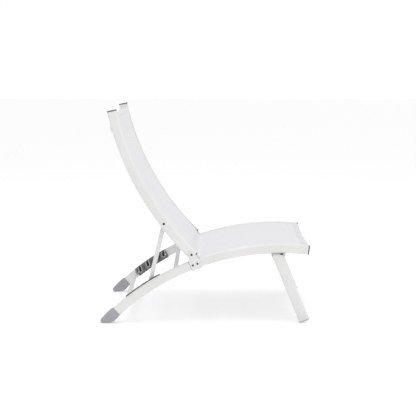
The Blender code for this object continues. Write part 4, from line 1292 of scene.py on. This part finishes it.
# ---------------------------------------------------------------- sling
@dataclass
class Sling:
    """The mesh cloth: one run from the top hem through the valley at the hinge to the front hem.

    It is two pieces that meet in the valley.
    """

    thickness: float = 0.0012
    held_width: float = 0.2758
    free_width: float = 0.2675
    seat_start: float = -0.0060
    seat_end: float = 0.4445
    back_start: float = 0.0400
    back_end: float = 0.6965
    seat_sag: float = 0.0040
    back_sag: float = 0.0030
    columns: int = 64
    back_rows: int = 86
    valley_rows: int = 16
    seat_rows: int = 56
    pitch: float = 0.0075
    easing: float = 0.020
    area: float = 0.0
    length: float = 0.0
    hem: float = 0.0240
    overhang: float = 0.0055
    bow: float = 0.0035

    def path(self) -> tuple[list[Vector], list[float], int]:
        """The cloth's line from the top hem to the front hem.

        Returns:
            Its points, how firmly each is held by the grooves (0 to 1), and the index of the split.
        """
        run = self.back_end - self.back_start
        back = [BACK.at(up_back(self.back_end - run * i / self.back_rows), RAIL.groove_rise)
                for i in range(self.back_rows + 1)]
        seat_from, seat_to = ARCH.at_x(self.seat_start), ARCH.at_x(self.seat_end)
        seat = [ARCH.at(seat_from + (seat_to - seat_from) * i / self.seat_rows, RAIL.groove_rise)
                for i in range(self.seat_rows + 1)]
        first, last = back[-1], seat[0]
        first_out = first + (back[-1] - back[-2]).normalized() * 0.055
        last_out = last - (seat[1] - seat[0]).normalized() * 0.030
        valley = []
        for i in range(1, self.valley_rows):
            t = i / self.valley_rows
            s = 1.0 - t
            valley.append(first * s ** 3 + first_out * (3 * s * s * t) + last_out * (3 * s * t * t)
                          + last * t ** 3)
        held = []
        for i in range(len(back)):
            held.append(min(1.0, (len(back) - 1 - i) * self.pitch / self.easing))
        held += [0.0] * len(valley)
        for i in range(len(seat)):
            held.append(min(1.0, i * self.pitch / self.easing))
        return back + valley + seat, held, len(back) + self.valley_rows // 2 - 1

    def spread_out(self, name: str, points: Sequence[Vector], held: Sequence[float], start: float,
                   sag: Sequence[float], thickness: Optional[float] = None) -> bpy.types.Object:
        """Lay a grid along a line, its UV map in metres.

        Args:
            name: The piece's name.
            points: The line in the side's plane.
            held: How firmly each station is held, 0 to 1.
            start: Distance along the whole cloth where this piece starts.
            sag: How far each station's middle hangs below the line.
            thickness: The cloth's thickness here.

        Returns:
            The piece.
        """
        idle()
        rows = len(points) - 1
        bpy.ops.mesh.primitive_grid_add(x_subdivisions=self.columns, y_subdivisions=rows, size=1.0)
        thing = named(name)
        lengths = [start]
        for a, b in zip(points, points[1:]):
            lengths.append(lengths[-1] + (b - a).length)
        ups = []
        for i in range(rows + 1):
            run = points[min(i + 1, rows)] - points[max(i - 1, 0)]
            ups.append(ACROSS.cross(run).normalized() * -1.0)
        if sum(up.z for up in ups) < 0.0:
            ups = [-up for up in ups]
        layer = thing.data.uv_layers.active
        spots = [(round((v.co.x + 0.5) * self.columns), round((v.co.y + 0.5) * rows))
                 for v in thing.data.vertices]
        for loop in thing.data.loops:
            column, row = spots[loop.vertex_index]
            layer.data[loop.index].uv = ((column / self.columns - 0.5) * 2 * self.held_width, lengths[row])
        for vert, (column, row) in zip(thing.data.vertices, spots):
            u = column / self.columns * 2.0 - 1.0
            firm = held[row] * held[row] * (3.0 - 2.0 * held[row])
            width = self.free_width + (self.held_width - self.free_width) * firm
            drop = sag[row] * (1.0 - u * u)
            place = points[row] - ups[row] * drop
            vert.co = (place.x, u * width, place.z)
        self.area = sum(face.area for face in thing.data.polygons)
        self.length = lengths[-1] - start
        modify(thing, "SOLIDIFY", thickness=thickness or self.thickness, offset=0.0, use_even_offset=True)
        return tidy(thing, 60.0)

    def build(self) -> None:
        """Make both cloths, their hems and their stitches."""
        points, held, split = self.path()
        lengths = [0.0]
        for a, b in zip(points, points[1:]):
            lengths.append(lengths[-1] + (b - a).length)
        sag = []
        for i in range(len(points)):
            share = min(1.0, max(0.0, (i - split) / 30.0)) if i > split else min(1.0, (split - i) / 40.0)
            deep = self.seat_sag if i > split else self.back_sag
            sag.append(deep * share * share * (3.0 - 2.0 * share))
        self.cloth("backrest_cloth", points[:split + 1], held[:split + 1], 0.0, sag[:split + 1],
                   "backrest_sling", "top")
        self.cloth("seat_cloth", points[split:], held[split:], lengths[split], sag[split:],
                   "seat_sling", "front")

    def cloth(self, name: str, points: Sequence[Vector], held: Sequence[float], start: float,
              sag: Sequence[float],
              node: str, edge: str) -> None:
        """One cloth with its hem.

        Args:
            name: The piece's name.
            points: Its line.
            held: How firmly each station is held.
            start: Where it starts along the whole cloth.
            sag: Its middle's drop at each station.
            node: The CAD node that it replaces.
            edge: "top" where the hem is at the line's start, else "front".
        """
        thing = self.spread_out(name, points, held, start, sag)
        hems = self.hems(name, points, sag, edge)
        body = Body.BACKREST if edge == "top" else Body.FRAME
        for piece, look in hems:
            deliver(piece, look, body)
        thing.data.materials.clear()
        thing.data.materials.append(Look.CLOTH.value.material("cloth_finish"))
        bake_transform(thing)
        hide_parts(node)

    def hems(self, name: str, points: Sequence[Vector], sag: Sequence[float],
             edge: str) -> list[tuple[bpy.types.Object, Look]]:
        """Turned hem at the cloth's free end, with two rows of stitches.

        Returns:
            Its pieces and their looks.
        """
        rows = round(self.hem / 0.0075)
        if edge == "top":
            line, drops = list(points[:rows + 1]), list(sag[:rows + 1])
        else:
            line, drops = list(points[-rows - 1:]), list(sag[-rows - 1:])
            line.append(line[-1] + (line[-1] - line[-2]).normalized() * self.overhang)
            drops.append(drops[-1] + 0.0004)
        wide = self.held_width
        self.held_width = wide - 0.0052
        hem = self.spread_out(f"{name}_hem", line, [1.0] * len(line), 0.0, drops, self.thickness * 2.4)
        if edge == "front":
            lip = line[-1].x - 0.5 * self.overhang
            for vert in hem.data.vertices:
                if vert.co.x > lip:
                    vert.co.x -= self.bow * (1.0 - (vert.co.y / self.held_width) ** 2)
        soften(hem, 0.0009, 3, 60.0)
        self.held_width = wide
        inward = line if edge == "top" else line[::-1]
        dips = drops if edge == "top" else drops[::-1]
        stitches = self.stitches(f"{name}_stitches", inward, dips)
        # The front hem takes the darker cloth, partly painted shade.
        return [(tidy(hem, 60.0), Look.CLOTH if edge == "top" else Look.HEM), (stitches, Look.THREAD)]

    def stitches(self, name: str, line: Sequence[Vector], drops: Sequence[float]) -> bpy.types.Object:
        """Two rows of stitches across the cloth on both faces of the hem."""
        idle()
        bpy.ops.mesh.primitive_uv_sphere_add(segments=6, ring_count=4, radius=0.5)
        seed = named(name)
        with editing(seed):
            bpy.ops.transform.resize(value=(0.0009, 0.0026, 0.0007))
        spots = []
        length = (line[-1] - line[0]).length
        heading = (line[-1] - line[0]).normalized()
        normal = ACROSS.cross(heading).normalized()
        if normal.z < 0.0:
            normal = -normal
        count = 164
        reach = RAIL.inner - 0.004
        for distance in (length - 0.0035, length - 0.0075):
            share = distance / length
            spot = line[0].lerp(line[-1], share)
            middle = (line[0] + line[-1]) / 2
            bow = line[len(line) // 2] - middle
            spot = spot + bow * (4.0 * share * (1.0 - share))
            drop = drops[0] + (drops[-1] - drops[0]) * share
            for i in range(count):
                y = -reach + 2 * reach * (i + 0.5) / count
                u = y / self.held_width
                for face in (1.0, -1.0):
                    lift = face * (self.thickness * 1.2 + 0.0001) - drop * (1.0 - u * u)
                    spots.append(spot + normal * lift + ACROSS * y)
        turn = Matrix((heading, ACROSS, heading.cross(ACROSS))).transposed()
        base = [turn @ v.co for v in seed.data.vertices]
        faces = [tuple(face.vertices) for face in seed.data.polygons]
        verts = [spot + corner for spot in spots for corner in base]
        size = len(base)
        all_faces = [tuple(index + n * size for index in face) for n in range(len(spots)) for face in faces]
        mesh = bpy.data.meshes.new(name)
        mesh.from_pydata(verts, [], all_faces)
        seed.data = mesh
        return tidy(seed, 80.0)


# ---------------------------------------------------------------- studio
@dataclass
class Studio:
    """Plain pale floor, soft white light and the camera."""

    lens: float = 85.0
    place: tuple[float, float, float] = (0.0144, -4.433, 1.168)
    pitch: float = 9.08
    around: float = 0.86
    from_front: float = 0.10
    from_behind: float = 0.45
    from_above: float = 0.10
    backdrop: float = 1.05
    floor_glow: float = 0.20

    def build(self) -> None:
        """Set up the floor, the world, the lights and the camera."""
        self.floor()
        self.light()
        self.camera()

    def floor(self) -> None:
        """A wide pale floor just under the feet."""
        idle()
        bpy.ops.mesh.primitive_plane_add(size=40.0, location=(0.0, 0.0, -0.0003))
        thing = named("studio_floor")
        material = bpy.data.materials.new("studio_floor_finish")
        material.use_nodes = True
        bench = NodeBench(material.node_tree)
        shader = material.node_tree.nodes["Principled BSDF"]
        place = bench.add("ShaderNodeTexCoord")
        cloud = bench.add("ShaderNodeTexNoise", Vector=place.outputs["Object"], Scale=2.0)
        bench.feed(shader.inputs["Base Color"],
                   bench.tint(cloud.outputs["Fac"], (0.90, 0.90, 0.90, 1.0), (0.91, 0.91, 0.91, 1.0)))
        shader.inputs["Roughness"].default_value = 0.9
        shader.inputs["Specular IOR Level"].default_value = 0.1
        shader.inputs["Emission Color"].default_value = (1.0, 1.0, 1.0, 1.0)
        shader.inputs["Emission Strength"].default_value = self.floor_glow
        thing.data.materials.append(material)

    def light(self) -> None:
        """White surroundings, dimmer behind the backrest, a soft box above and a weaker one in front."""
        world = bpy.data.worlds.new("studio_world")
        world.use_nodes = True
        bench = NodeBench(world.node_tree)
        direction = bench.add("ShaderNodeTexCoord").outputs["Generated"]
        around = bench.add("ShaderNodeSeparateXYZ", Vector=direction)
        ahead = bench.math("MAXIMUM", around.outputs["X"], 0.0)
        behind = bench.math("MINIMUM", around.outputs["X"], 0.0)
        strength = bench.math("ADD", bench.math("MULTIPLY", ahead, self.from_front), self.around)
        strength = bench.math("ADD", bench.math("MULTIPLY", behind, self.from_behind), strength)
        strength = bench.math("ADD", strength, bench.math("MULTIPLY", around.outputs["Z"], self.from_above))
        seen = bench.add("ShaderNodeLightPath").outputs["Is Camera Ray"]
        shown = bench.add("ShaderNodeMix", Factor=seen, A=strength, B=self.backdrop)
        background = world.node_tree.nodes["Background"]
        background.inputs["Color"].default_value = (1.0, 1.0, 1.0, 1.0)
        bench.feed(background.inputs["Strength"], shown.outputs["Result"])
        bpy.context.scene.world = world
        for name, place, aim, size, power in (
                ("top_light", (-0.6, -0.3, 3.1), (0.1, 0.0, 0.2), 2.6, 28.0),
                ("front_light", (1.8, -3.4, 2.2), (0.0, 0.0, 0.4), 1.8, 4.0)):
            lamp = bpy.data.lights.new(name, "AREA")
            lamp.shape = "SQUARE"
            lamp.size = size
            lamp.energy = power
            thing = bpy.data.objects.new(name, lamp)
            thing.location = place
            thing.rotation_euler = (Vector(aim) - Vector(place)).to_track_quat("-Z", "Y").to_euler()
            bpy.context.scene.collection.objects.link(thing)

    def camera(self) -> None:
        """The camera, with a long lens from the right side, a little above."""
        lens = bpy.data.cameras.new("camera")
        lens.lens = self.lens
        lens.sensor_width = 36.0
        lens.clip_end = 100.0
        thing = bpy.data.objects.new("camera", lens)
        thing.location = self.place
        thing.rotation_euler = Matrix.Rotation(math.radians(90.0 - self.pitch), 3, "X").to_euler()
        bpy.context.scene.collection.objects.link(thing)
        bpy.context.scene.camera = thing
        bpy.context.scene.view_settings.view_transform = "Standard"


def main() -> None:
    """Build the lounger and its studio."""
    logging.basicConfig(level=logging.INFO, format="%(message)s")
    Studio().build()
    seat = SeatFrame()
    seat.build()
    Backrest().build(seat)
    Prop().build(seat)
    FrontLegs().build()
    Sling().build()
    idle()


if __name__ == "__main__":
    main()
